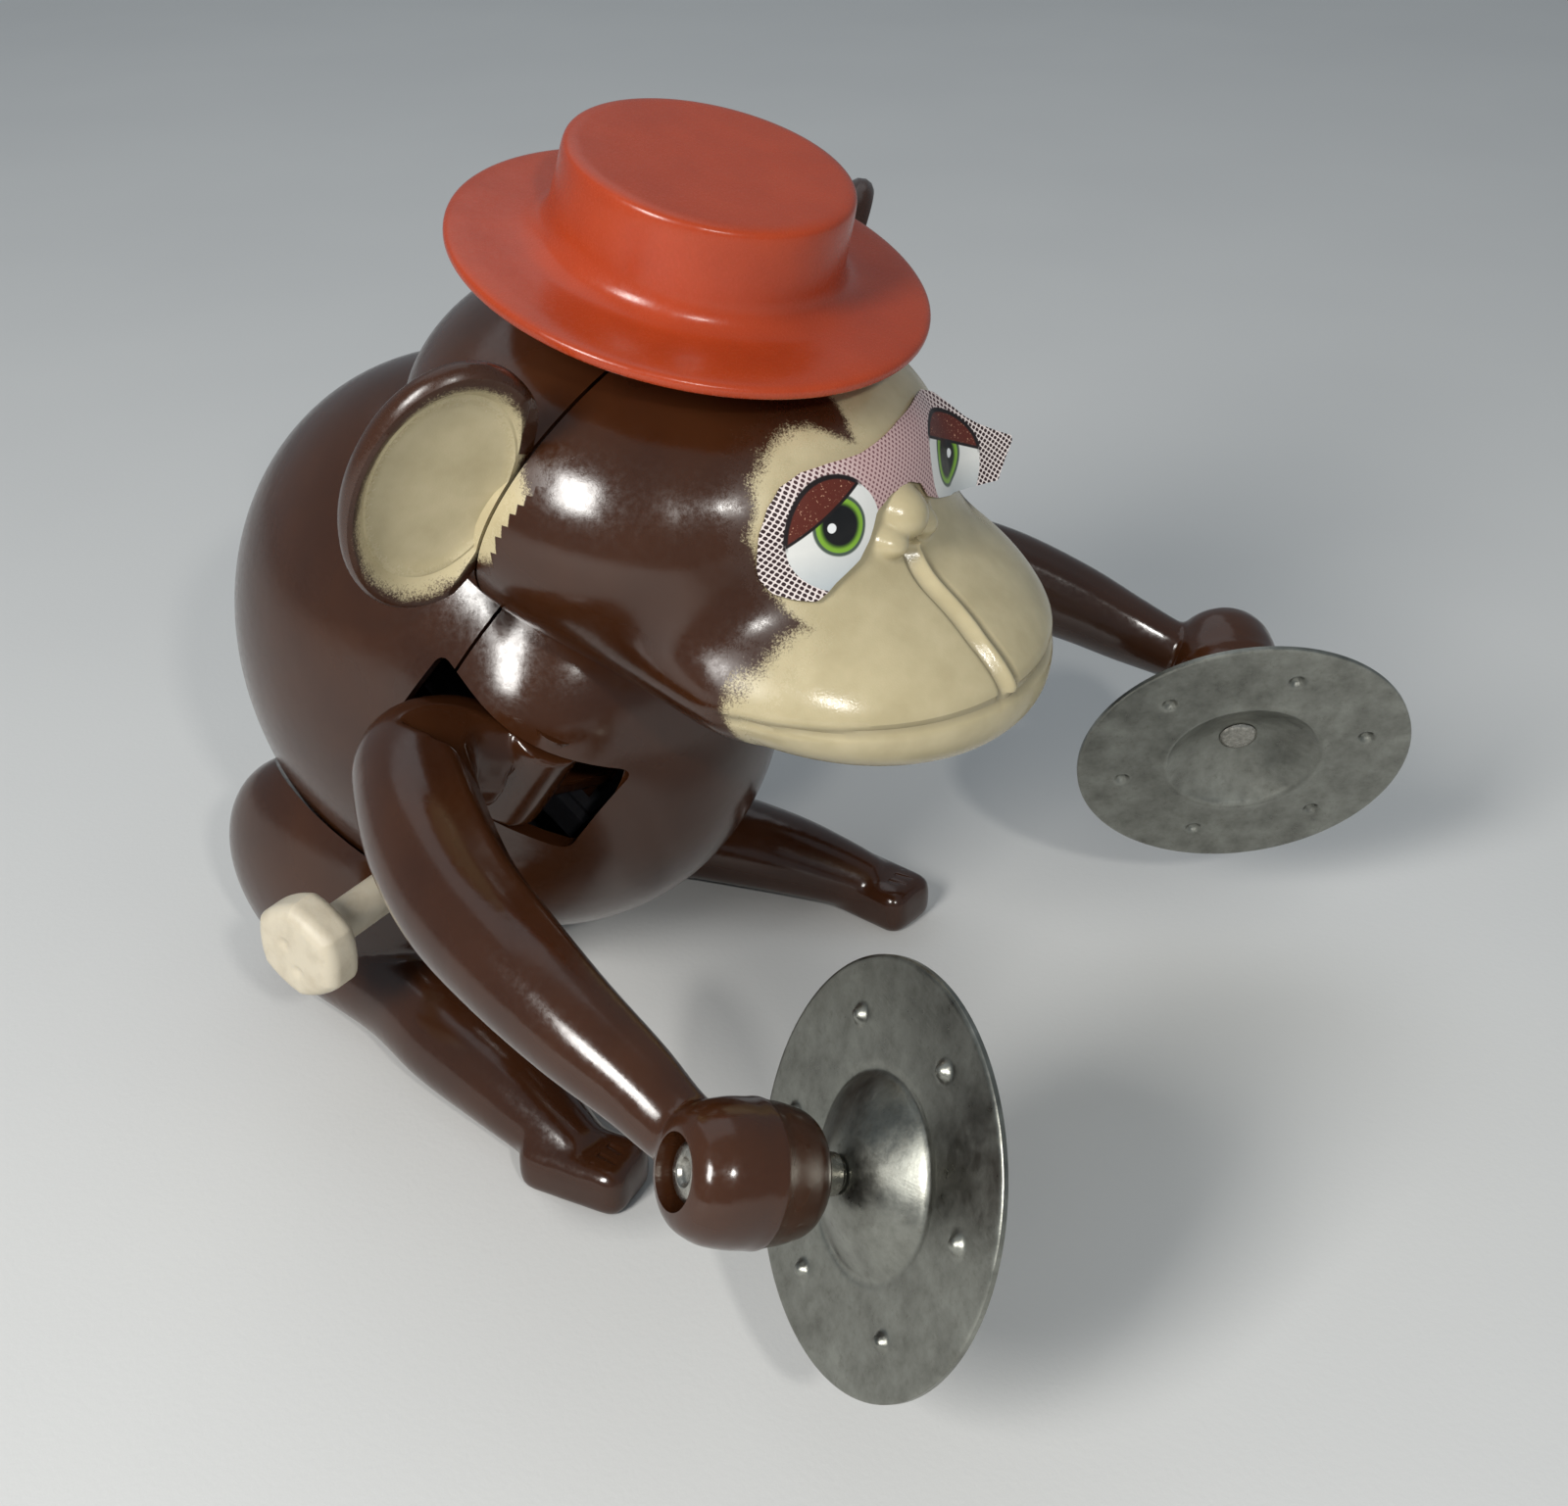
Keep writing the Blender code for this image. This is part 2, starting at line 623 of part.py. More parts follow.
def make_shells():
    """Front shell with the face and chest, back shell with the hump and ears."""
    behind, ahead = half_space("behind_seam", 1), half_space("ahead_of_seam", -1)
    inner = body_form("inner_form", -SHELL_WALL)
    inset = body_form("mid_wall_form", -SHELL_WALL / 2)
    front = half_shell("front_shell", inner, behind)
    back = half_shell("back_shell", inner, ahead)
    for side in (-1, 1):
        join(back, cut(make_ear(side), inset, ahead))
    for side in (-1, 1):
        slot = slot_cutter(side)
        cut(front, slot)
        cut(back, slot)
    for side in (-1, 1):
        for boss in pivot_bosses(side):
            keep_inside(boss, inset)
            cut(boss, behind)
            join(front, boss)
    for x in CASE_REST_X:
        rest = cylinder(f"case_rest_{x}", (x, CASE_REST_Y, 0), (x, CASE_REST_Y, CASE_OUTLINE[0][1] - GAP), 0.0015)
        join(front, keep_inside(rest, inset))
    for name, x, z in SCREW_PLACES:
        start = screw_line(x, z)
        post = cylinder(f"post_{name}", start - SEAM_NORMAL * 0.03, start, SCREW_BOSS_RADIUS - 0.0008)
        keep_inside(post, inset)
        cut(post, behind)
        sleeve = cylinder(f"sleeve_{name}", start, start + SEAM_NORMAL * 0.04, SCREW_BOSS_RADIUS)
        keep_inside(sleeve, inset)
        cut(sleeve, ahead)
        join(front, post)
        join(back, sleeve)
        head_seat = start + SEAM_NORMAL * (SCREW_LENGTH * 0.45)
        pilot = cylinder(f"pilot_{name}", start - SEAM_NORMAL * SCREW_LENGTH, start + SEAM_NORMAL * 0.001,
                         SCREW_RADIUS + RUNNING)
        through = cylinder(f"through_{name}", start - SEAM_NORMAL * 0.001, head_seat + SEAM_NORMAL * 0.001,
                           SCREW_RADIUS + GAP)
        well = cylinder(f"well_{name}", head_seat, start + SEAM_NORMAL * 0.05, SCREW_HEAD_RADIUS + GAP)
        cut(front, pilot)
        cut(back, through, well)
    for side in (-1, 1):
        pin_hole = cylinder(
            f"pin_hole_{side}",
            leaning(side * HUB_X, HUB_V, SLOT_LOW - PIVOT_BOSS_LENGTH + 0.0010),
            leaning(side * HUB_X, HUB_V, SLOT_HIGH + PIVOT_BOSS_LENGTH),
            PIVOT_PIN_RADIUS + RUNNING,
        )
        cut(front, pin_hole)
        peg_hole = cylinder(
            f"peg_hole_{side}",
            (side * 0.004, *LEG_PEG_PLACE),
            (side * 0.030, *LEG_PEG_PLACE),
            LEG_PEG_RADIUS + GAP,
        )
        cut(back, peg_hole)
    hat_hole = cylinder("hat_hole", hat_place @ Vector((0, 0, -0.02)), hat_place @ Vector((0, 0, 0.02)),
                        HAT_PEG_RADIUS + GAP)
    stem_hole = bore("stem_hole", WINDING_PLACE, -0.030, -0.008, STEM_RADIUS + GAP)
    cut(front, hat_hole, stem_hole)
    cut(back, hat_hole, stem_hole)


# --- eye label ---------------------------------------------------------------------------------


def make_eye_label():
    """One thin printed label across both eyes, lying just off the face."""
    shape = bmesh.new()
    bmesh.ops.create_grid(shape, x_segments=14, y_segments=4, size=1.0)
    for vert in shape.verts:
        across, up = vert.co.x, vert.co.y
        widen = 1.0 - 0.35 * (1 - min(abs(across) / 0.6, 1.0)) ** 2
        x = across * LABEL_HALF_WIDTH
        z = EYE_HEIGHT + up * LABEL_HALF_HEIGHT * widen * (1 - 0.25 * abs(across) ** 3) - 0.0006 * across**2
        towards = Vector((x * 0.95, -0.0170, z)) - HEAD_MIDDLE
        vert.co = surface_point(head_distance, HEAD_MIDDLE, towards.normalized(), GAP)
    bmesh.ops.recalc_face_normals(shape, faces=shape.faces)
    label = from_bmesh("eye_label", shape, LABEL)
    solid = label.modifiers.new("thickness", "SOLIDIFY")
    solid.thickness = LABEL_THICKNESS
    solid.offset = 1
    return label


# --- arms, rivets and cymbals ------------------------------------------------------------------


def make_right_arm():
    """Curved arm with its hub, its inner tail for the slide, and a fist bored for the rivet."""
    route = [(leaning(-x, v, w), radius) for x, v, w, radius in ARM_ROUTE]
    fist_centre = cymbal_centre - cymbal_axis * FIST_OFFSET
    route.append((fist_centre, ARM_ROUTE[-1][3]))
    arm = tube("right_arm", route, BROWN)
    hub = cylinder("hub", leaning(-HUB_X, HUB_V, HUB_LOW), leaning(-HUB_X, HUB_V, HUB_HIGH), HUB_RADIUS)
    tail_turn = Matrix.Translation((-HUB_X, HUB_V, 0)) @ Matrix.Rotation(-TAIL_REST, 4, "Z")
    tail = block("tail", (0, -0.0013, HUB_LOW + 0.0002), (TAIL_LENGTH + 0.0012, 0.0013, HUB_LOW + 0.0024),
                 frame=hinge_frame @ tail_turn)
    pin_low, pin_high = SLIDE_LOW_W - 0.0002, HUB_LOW + 0.0012
    tail_tip = hinge_frame @ tail_turn
    tail_pin = cylinder("tail_pin", tail_tip @ Vector((TAIL_LENGTH, 0, pin_low)),
                        tail_tip @ Vector((TAIL_LENGTH, 0, pin_high)), TAIL_PIN_RADIUS)
    fist = ball("fist", fist_centre, (FIST_RADIUS,) * 3, sides=18, rings=10)
    join(arm, hub, tail, tail_pin, fist)
    pin_bore = cylinder("pin_bore", leaning(-HUB_X, HUB_V, HUB_LOW - 0.001),
                        leaning(-HUB_X, HUB_V, HUB_HIGH + 0.001), PIVOT_PIN_RADIUS + RUNNING)
    shank_bore = cylinder("shank_bore", fist_centre - cymbal_axis * 0.01, fist_centre + cymbal_axis * 0.01,
                          RIVET_RADIUS + RUNNING)
    head_seat = fist_centre - cymbal_axis * (FIST_RADIUS - 0.0024)
    head_bore = cylinder("head_bore", head_seat - cymbal_axis * 0.01, head_seat, RIVET_HEAD_RADIUS + GAP)
    cap = hinge_frame @ Matrix.Translation((0, 0, HUB_HIGH))
    flat_top = block("flat_top", (-0.024, 0, 0), (-0.008, 0.05, 0.02), frame=cap)
    return cut(arm, flat_top, pin_bore, shank_bore, head_bore)


def make_right_rivet():
    """Rivet through the fist and the cymbal: a head sunk in the fist, a collar and a peened end."""
    seat = -FIST_OFFSET - FIST_RADIUS + 0.0024
    back_of_dome = DOME_FACE - CYMBAL_THICKNESS
    neck = RIVET_RADIUS - 0.0004
    profile = (
        (0, DOME_FACE + PEEN_HEIGHT),
        (neck + 0.0005, DOME_FACE + PEEN_HEIGHT - 0.0001),
        (neck + 0.0006, DOME_FACE + GAP / 3),
        (neck, DOME_FACE + GAP / 3),
        (neck, back_of_dome - GAP),
        (RIVET_RADIUS, back_of_dome - GAP),
        (RIVET_RADIUS, seat - GAP),
        (RIVET_HEAD_RADIUS, seat - GAP),
        (RIVET_HEAD_RADIUS - 0.0004, seat - GAP - RIVET_HEAD_HEIGHT + 0.0002),
        (0, seat - GAP - RIVET_HEAD_HEIGHT),
    )
    return settle(turned("right_cymbal_rivet", profile, cymbal_place, STEEL, steps=16))


def make_right_cymbal():
    """Pressed steel disc with a dished centre that bulges towards its own fist."""
    t, edge = CYMBAL_THICKNESS, CYMBAL_RADIUS
    hole = RIVET_RADIUS - 0.0004 + RUNNING
    flat = DOME_RADIUS * 0.38
    profile = (
        (hole, DOME_FACE),
        (flat, DOME_FACE),
        (DOME_RADIUS * 0.72, DOME_FACE * 0.66),
        (DOME_RADIUS, -0.0001),
        (DOME_RADIUS + 0.0006, 0),
        (edge - 0.0004, 0),
        (edge, -t / 2),
        (edge - 0.0004, -t),
        (DOME_RADIUS + 0.0004, -t),
        (DOME_RADIUS * 0.68, DOME_FACE * 0.66 - t),
        (flat * 0.95, DOME_FACE - t),
        (hole, DOME_FACE - t),
    )
    return settle(turned("right_cymbal", profile, cymbal_place, ZINC, steps=36, ring=True))


# --- legs --------------------------------------------------------------------------------------


def make_right_leg(body_clearance):
    """Haunch, shin and foot in one moulding, flat underneath, with a peg into the back shell."""
    leg = ball("right_leg", (-THIGH_CENTRE[0], *THIGH_CENTRE[1:]), THIGH_SEMI, BROWN, rings=14, sides=22)
    shin = tube("shin", [((-x, y, z), radius) for x, y, z, radius in SHIN_ROUTE])
    half_x, half_y = FOOT_SIZE[0] / 2, FOOT_SIZE[1] / 2
    place = Matrix.Translation((-FOOT_CENTRE[0], FOOT_CENTRE[1], 0)) @ Matrix.Rotation(FOOT_TURN, 4, "Z")
    foot = block("foot", (-half_x, -half_y, -0.001), (half_x, half_y, FOOT_SIZE[2]), bevel=0.0014, frame=place)
    join(leg, shin, foot)
    ground = block("ground", (-0.06, -0.05, -0.03), (0.06, 0.06, 0))
    cut(leg, ground, body_clearance)
    peg_root = -THIGH_CENTRE[0] - THIGH_SEMI[0] / 2
    peg = cylinder("leg_peg", (peg_root, *LEG_PEG_PLACE), (peg_root + LEG_PEG_LENGTH, *LEG_PEG_PLACE), LEG_PEG_RADIUS)
    return join(leg, peg)


# --- wind-up motor -----------------------------------------------------------------------------


def gear_outline(teeth, place, turn=0.0):
    """Teeth with sloping sides, cut a little thin for play; one tooth points along turn."""
    pitch_radius = GEAR_MODULE * teeth / 2
    tip, root = pitch_radius + 0.75 * GEAR_MODULE, pitch_radius - 1.1 * GEAR_MODULE
    step = 2 * pi / teeth
    outline = []
    for i in range(teeth):
        for radius, share in ((root, -0.30), (tip, -0.12), (tip, 0.12), (root, 0.30)):
            angle = turn + (i + share) * step
            outline.append((place[0] + radius * cos(angle), place[1] + radius * sin(angle)))
    return outline


def wheel_and_pinion(name, place, teeth, low_x, pinion_turn, wheel_turn, hole):
    """A wheel with a smaller pinion moulded on its right-hand side, bored for its arbor."""
    wheel = plate(name, [gear_outline(teeth, place, wheel_turn)], low_x, low_x + WHEEL_THICKNESS, ACETAL)
    pinion = plate(f"{name}_pinion", [gear_outline(PINION_TEETH, place, pinion_turn)],
                   low_x + WHEEL_THICKNESS / 2 - PINION_LENGTH, low_x + WHEEL_THICKNESS / 2)
    join(wheel, pinion)
    return cut(wheel, bore(f"{name}_bore", place, low_x - 0.004, low_x + 0.004, hole))


def direction(start, end):
    return atan2(end[1] - start[1], end[0] - start[0])


def facing_gap(start, end, teeth):
    """The turn that puts a gap between two teeth on the line towards the driving wheel."""
    return direction(end, start) + pi / teeth


WHEEL_STEP = WHEEL_THICKNESS + 0.0006
DRIVE_X = -0.0021
SECOND_X = DRIVE_X + WHEEL_STEP
CRANK_WHEEL_X = SECOND_X + WHEEL_STEP
ESCAPE_X = CRANK_WHEEL_X + WHEEL_STEP - 0.0001
COVER_X = CASE_HIGH_X + GAP
CRANK_DISC_X = COVER_X + CASE_WALL + 0.0006
FORK_X = CRANK_DISC_X + CRANK_DISC_THICKNESS + CRANK_PIN_LENGTH + GAP


def make_train():
    """Drive wheel, two wheels with pinions, escape wheel and pallet, each meshing with the next."""
    drive = plate("drive_wheel", [gear_outline(DRIVE_TEETH, WINDING_PLACE, direction(WINDING_PLACE, SECOND_PLACE))],
                  DRIVE_X, DRIVE_X + WHEEL_THICKNESS, ACETAL)
    cut(drive, bore("drive_bore", WINDING_PLACE, DRIVE_X - 0.002, DRIVE_X + 0.003, SHAFT_RADIUS + RUNNING))
    wheel_and_pinion("second_wheel", SECOND_PLACE, SECOND_TEETH, SECOND_X,
                     facing_gap(WINDING_PLACE, SECOND_PLACE, PINION_TEETH),
                     direction(SECOND_PLACE, CRANK_PLACE), ARBOR_RADIUS + RUNNING)
    wheel_and_pinion("crank_wheel", CRANK_PLACE, CRANK_TEETH, CRANK_WHEEL_X,
                     facing_gap(SECOND_PLACE, CRANK_PLACE, PINION_TEETH),
                     direction(CRANK_PLACE, ESCAPE_PLACE), CRANK_ARBOR_RADIUS + RUNNING)
    outline = []
    for i in range(ESCAPE_TEETH):
        start = i * 2 * pi / ESCAPE_TEETH
        for radius, share in ((ESCAPE_RADIUS * 0.68, 0.0), (ESCAPE_RADIUS, 0.62), (ESCAPE_RADIUS, 0.78)):
            angle = start + share * 2 * pi / ESCAPE_TEETH
            outline.append((ESCAPE_PLACE[0] + radius * cos(angle), ESCAPE_PLACE[1] + radius * sin(angle)))
    escape = plate("escape_wheel", [outline], ESCAPE_X, ESCAPE_X + WHEEL_THICKNESS, ACETAL)
    pinion = plate("escape_pinion",
                   [gear_outline(PINION_TEETH, ESCAPE_PLACE, facing_gap(CRANK_PLACE, ESCAPE_PLACE, PINION_TEETH))],
                   ESCAPE_X + WHEEL_THICKNESS / 2 - PINION_LENGTH, ESCAPE_X + WHEEL_THICKNESS / 2)
    join(escape, pinion)
    cut(escape, bore("escape_bore", ESCAPE_PLACE, ESCAPE_X - 0.004, ESCAPE_X + 0.004, ARBOR_RADIUS + RUNNING))
    anchor = ((-0.0026, 0.0014), (-0.0020, 0.0015), (-0.0012, 0.0006), (0.0012, 0.0006), (0.0020, 0.0015),
              (0.0026, 0.0014), (0.0016, -0.0009), (0.0006, -0.0014), (-0.0006, -0.0014), (-0.0016, -0.0009))
    turn = direction(PALLET_PLACE, ESCAPE_PLACE) - pi / 2
    outline = [
        (PALLET_PLACE[0] + y * cos(turn) - z * sin(turn), PALLET_PLACE[1] + y * sin(turn) + z * cos(turn))
        for y, z in anchor
    ]
    pallet = plate("pallet_lever", [outline], ESCAPE_X, ESCAPE_X + WHEEL_THICKNESS, BLACK)
    cut(pallet, bore("pallet_bore", PALLET_PLACE, ESCAPE_X - 0.001, ESCAPE_X + 0.002, ARBOR_RADIUS + RUNNING))


def make_arbors():
    """Steel arbors across the motor case, and the crank disc with its pin outside the cover."""
    far_left, far_right = CASE_LOW_X + CASE_WALL * 0.3, COVER_X + CASE_WALL * 0.7
    for name, place in (("second_arbor", SECOND_PLACE), ("escape_arbor", ESCAPE_PLACE),
                        ("pallet_arbor", PALLET_PLACE)):
        cylinder(name, (far_left, *place), (far_right, *place), ARBOR_RADIUS, STEEL, sides=14)
    cylinder("crank_arbor", (far_left, *CRANK_PLACE), (CRANK_DISC_X + CRANK_DISC_THICKNESS / 2, *CRANK_PLACE),
             CRANK_ARBOR_RADIUS, STEEL, sides=16)
    disc = cylinder("crank_disc", (CRANK_DISC_X, *CRANK_PLACE), (CRANK_DISC_X + CRANK_DISC_THICKNESS, *CRANK_PLACE),
                    CRANK_THROW + 0.0014, BLACK, sides=32)
    pin_y = CRANK_PLACE[0] - CRANK_THROW * cos(HINGE_LEAN)
    pin_z = CRANK_PLACE[1] - CRANK_THROW * sin(HINGE_LEAN)
    pin = cylinder("crank_pin", (CRANK_DISC_X + 0.0003, pin_y, pin_z),
                   (CRANK_DISC_X + CRANK_DISC_THICKNESS + CRANK_PIN_LENGTH, pin_y, pin_z), CRANK_PIN_RADIUS)
    join(disc, pin)
    cut(disc, bore("crank_disc_bore", CRANK_PLACE, CRANK_DISC_X - 0.001,
                   CRANK_DISC_X + CRANK_DISC_THICKNESS / 2 + RUNNING, CRANK_ARBOR_RADIUS + RUNNING))


def shrunk(outline, wall):
    """The case outline moved in by about a wall, towards its middle."""
    middle_y = sum(y for y, _ in outline) / len(outline)
    middle_z = sum(z for _, z in outline) / len(outline)
    inner = []
    for y, z in outline:
        away = hypot(y - middle_y, z - middle_z)
        share = 1 - wall * 1.12 / away
        inner.append((middle_y + (y - middle_y) * share, middle_z + (z - middle_z) * share))
    return inner


def make_motor_case():
    """Open tray with the spring and train in it, and the flat cover that closes it."""
    case = plate("motor_case", [CASE_OUTLINE], CASE_LOW_X, CASE_HIGH_X, BLACK)
    inside = plate("case_inside", [shrunk(CASE_OUTLINE, CASE_WALL)], CASE_LOW_X + CASE_WALL, CASE_HIGH_X + 0.002)
    cover = plate("motor_cover", [CASE_OUTLINE], COVER_X, COVER_X + CASE_WALL, BLACK)
    cut(case, inside)
    bores = (("winding", WINDING_PLACE, SHAFT_RADIUS), ("second", SECOND_PLACE, ARBOR_RADIUS),
             ("crank", CRANK_PLACE, CRANK_ARBOR_RADIUS), ("escape", ESCAPE_PLACE, ARBOR_RADIUS),
             ("pallet", PALLET_PLACE, ARBOR_RADIUS))
    for name, place, radius in bores:
        hole = bore(f"{name}_case_bore", place, CASE_LOW_X - 0.002, COVER_X + 0.002, radius + RUNNING)
        cut(case, hole)
        cut(cover, hole)


def make_mainspring():
    """Flat spiral strip round the winding shaft."""
    count = round(SPRING_TURNS * 20)
    inner, outer = [], []
    for i in range(count + 1):
        angle = i / 20 * 2 * pi
        radius = SPRING_INNER + (SPRING_OUTER - SPRING_INNER - SPRING_STRIP) * i / count
        for ring, extra in ((inner, 0.0), (outer, SPRING_STRIP)):
            ring.append((WINDING_PLACE[0] + (radius + extra) * cos(angle),
                         WINDING_PLACE[1] + (radius + extra) * sin(angle)))
    plate("mainspring", [inner + outer[::-1]], SPRING_LOW_X, SPRING_LOW_X + SPRING_WIDTH, SPRING_STEEL)


def make_winding():
    """Knob with its stem outside the leg, on the steel winding shaft."""
    y, z = WINDING_PLACE
    cylinder("winding_shaft", (-KNOB_OUTER + 0.0015, y, z), (COVER_X + CASE_WALL * 0.7, y, z), SHAFT_RADIUS, STEEL)
    outline = []
    for i in range(6):
        for offset in (-16, 0, 16):
            angle = radians(60 * i + offset)
            radius = KNOB_RADIUS * (1.0 if offset == 0 else 0.965)
            outline.append((y + radius * cos(angle), z + radius * sin(angle)))
    knob = plate("winding_knob", [outline], -KNOB_OUTER, -KNOB_OUTER + KNOB_THICKNESS, WHITE)
    soften = knob.modifiers.new("edges", "BEVEL")
    soften.width = 0.0008
    soften.segments = 2
    soften.limit_method = "ANGLE"
    soften.angle_limit = radians(60)
    knob = settle(knob)
    stem = cylinder("stem", (-KNOB_OUTER + KNOB_THICKNESS / 2, y, z), (CASE_LOW_X - 0.0006, y, z), STEM_RADIUS)
    join(knob, stem)
    cut(knob, bore("knob_bore", WINDING_PLACE, -KNOB_OUTER + 0.0013, 0.001, SHAFT_RADIUS + RUNNING))


# --- slide that joins the crank to both arms ---------------------------------------------------


def make_slide():
    """Plate with a slot for each arm's tail pin and a fork that reaches down to the crank pin."""
    tip_x, tip_v = swung(-HUB_X + TAIL_LENGTH, HUB_V, -TAIL_REST)
    inner_x = HUB_X - TAIL_LENGTH
    crank_v = CRANK_PLACE[0] * cos(HINGE_LEAN) + CRANK_PLACE[1] * sin(HINGE_LEAN)
    crank_w = CRANK_PLACE[1] * cos(HINGE_LEAN) - CRANK_PLACE[0] * sin(HINGE_LEAN)
    pin_v = crank_v - CRANK_THROW
    low, high = SLIDE_LOW_W, SLIDE_LOW_W + SLIDE_THICKNESS
    fork_right = FORK_X + 0.0011
    slide = block("clapper_slide", (-fork_right, tip_v - 0.0022, low), (fork_right, pin_v + 0.0022, high), BLACK,
                  frame=hinge_frame)
    tab = block("fork_tab", (FORK_X, pin_v - 0.0022, crank_w - CRANK_THROW - 0.0012),
                (fork_right, pin_v + 0.0022, high - 0.0002), frame=hinge_frame)
    mouth = block("fork_mouth", (FORK_X - 0.001, pin_v - CRANK_PIN_RADIUS - RUNNING, crank_w - CRANK_THROW - 0.003),
                  (fork_right + 0.001, pin_v + CRANK_PIN_RADIUS + RUNNING, crank_w + CRANK_THROW + 0.0012),
                  frame=hinge_frame)
    join(slide, tab)
    cut(slide, mouth)
    play = TAIL_PIN_RADIUS + 0.0003
    for side in (-1, 1):
        ends = sorted((side * (-tip_x + play), side * (inner_x - play)))
        slot = block(f"tail_slot_{side}", (ends[0], tip_v - play, low - 0.001), (ends[1], tip_v + play, high + 0.001),
                     frame=hinge_frame)
        cut(slide, slot)
    half = fork_right + GAP
    front, rear = tip_v - 0.0025, pin_v + 0.0022 + SLIDE_STROKE + GAP + 0.0012
    tray = block("slide_tray", (-half - 0.0010, front, low - GAP - TRAY_FLOOR), (half + 0.0010, rear, high), BLACK,
                 frame=hinge_frame)
    channel = block("tray_channel", (-half, front - 0.001, low - GAP), (half, rear + 0.001, high + 0.001),
                    frame=hinge_frame)
    window = block("fork_window", (FORK_X - GAP, pin_v - 0.0022 - GAP, low - 0.005),
                   (half + 0.0004, pin_v + 0.0022 + SLIDE_STROKE + GAP, low), frame=hinge_frame)
    foot_low = Vector((0, 0.0235, max(z for _, z in CASE_OUTLINE) + GAP))
    foot = cylinder("tray_foot", foot_low, foot_low + Vector((0, 0, TRAY_FOOT_LENGTH)), TRAY_FOOT_RADIUS)
    roof = block("tray_roof", (-0.01, -0.01, low - GAP - TRAY_FLOOR / 2), (0.01, 0.06, low + 0.02), frame=hinge_frame)
    cut(foot, roof)
    cut(tray, channel, window)
    join(tray, foot)


# --- fasteners and pins ------------------------------------------------------------------------


def make_fasteners():
    """Screws that hold the shells together, and the arms' pivot pins."""
    for name, x, z in SCREW_PLACES:
        seat = screw_line(x, z) + SEAM_NORMAL * (SCREW_LENGTH * 0.45 + GAP / 2)
        place = Matrix.Translation(seat) @ SEAM_NORMAL.to_track_quat("Z", "Y").to_matrix().to_4x4()
        profile = (
            (0, SCREW_HEAD_HEIGHT),
            (SCREW_HEAD_RADIUS - 0.0006, SCREW_HEAD_HEIGHT),
            (SCREW_HEAD_RADIUS, SCREW_HEAD_HEIGHT * 0.35),
            (SCREW_HEAD_RADIUS, 0),
            (SCREW_RADIUS, 0),
            (SCREW_RADIUS, -SCREW_LENGTH + 0.0010),
            (0, -SCREW_LENGTH),
        )
        turned(name, profile, place, STEEL, steps=16)
    for name, side in (("right_pivot_pin", -1), ("left_pivot_pin", 1)):
        cylinder(name, leaning(side * HUB_X, HUB_V, SLOT_LOW - PIVOT_BOSS_LENGTH + 0.0013),
                 leaning(side * HUB_X, HUB_V, SLOT_HIGH + 0.0026), PIVOT_PIN_RADIUS, STEEL, sides=16)


# --- assembly ----------------------------------------------------------------------------------

make_hat()
make_shells()
make_eye_label()
right_arm = make_right_arm()
mirrored(right_arm, "left_arm")
right_rivet = make_right_rivet()
mirrored(right_rivet, "left_cymbal_rivet")
right_cymbal = make_right_cymbal()
mirrored(right_cymbal, "left_cymbal")
right_leg = make_right_leg(body_form("leg_clearance", GAP))
mirrored(right_leg, "left_leg")
cut(right_leg, bore("leg_stem_hole", WINDING_PLACE, -0.024, -0.008, STEM_RADIUS + GAP))
make_motor_case()
make_train()
make_arbors()
make_mainspring()
make_winding()
make_slide()
make_fasteners()
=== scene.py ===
import json
from math import cos, pi, radians, sin

import bmesh
import bpy
import numpy as np
from bpy.props import FloatProperty, PointerProperty
from mathutils import Matrix, Vector


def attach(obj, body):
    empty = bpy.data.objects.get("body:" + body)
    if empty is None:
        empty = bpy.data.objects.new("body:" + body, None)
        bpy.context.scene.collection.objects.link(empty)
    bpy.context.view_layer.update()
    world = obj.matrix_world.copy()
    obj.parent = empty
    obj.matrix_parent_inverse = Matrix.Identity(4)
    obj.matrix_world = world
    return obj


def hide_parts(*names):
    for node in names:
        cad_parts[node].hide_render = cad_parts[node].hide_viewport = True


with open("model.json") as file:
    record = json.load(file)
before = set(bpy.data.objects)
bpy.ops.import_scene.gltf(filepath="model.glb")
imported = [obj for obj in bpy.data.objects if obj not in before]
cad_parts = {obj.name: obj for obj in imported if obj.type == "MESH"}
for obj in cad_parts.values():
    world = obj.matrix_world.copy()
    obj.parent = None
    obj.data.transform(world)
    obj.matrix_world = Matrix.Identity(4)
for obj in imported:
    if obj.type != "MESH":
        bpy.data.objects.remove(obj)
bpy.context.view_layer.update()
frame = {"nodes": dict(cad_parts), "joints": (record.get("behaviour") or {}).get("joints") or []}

bl_info = {
    "name": "Wind-up Cymbal Monkey",
    "version": (1, 0, 0),
    "blender": (4, 5, 0),
    "location": "3D View > Sidebar > Monkey",
    "description": "Builds the looks of a small wind-up monkey around its packed frame",
    "category": "Object",
}

MM = 0.001
HALVINGS = 22  # steps in the search for a form's surface
HEAD_TILT = radians(15.2)


# --- colours and nodes -------------------------------------------------------------------------


def linear(hex_colour):
    """An sRGB hex colour as linear RGBA."""
    channels = [int(hex_colour[i : i + 2], 16) / 255 for i in (0, 2, 4)]
    return (*[c / 12.92 if c <= 0.04045 else ((c + 0.055) / 1.055) ** 2.4 for c in channels], 1.0)


def node(tree, kind, inputs=None, **settings):
    """Adds a node; an input's value is a number, a colour or another node's output socket."""
    made = tree.nodes.new(kind)
    for key, value in settings.items():
        setattr(made, key, value)
    for key, value in (inputs or {}).items():
        if isinstance(value, bpy.types.NodeSocket):
            tree.links.new(value, made.inputs[key])
        else:
            made.inputs[key].default_value = value
    return made


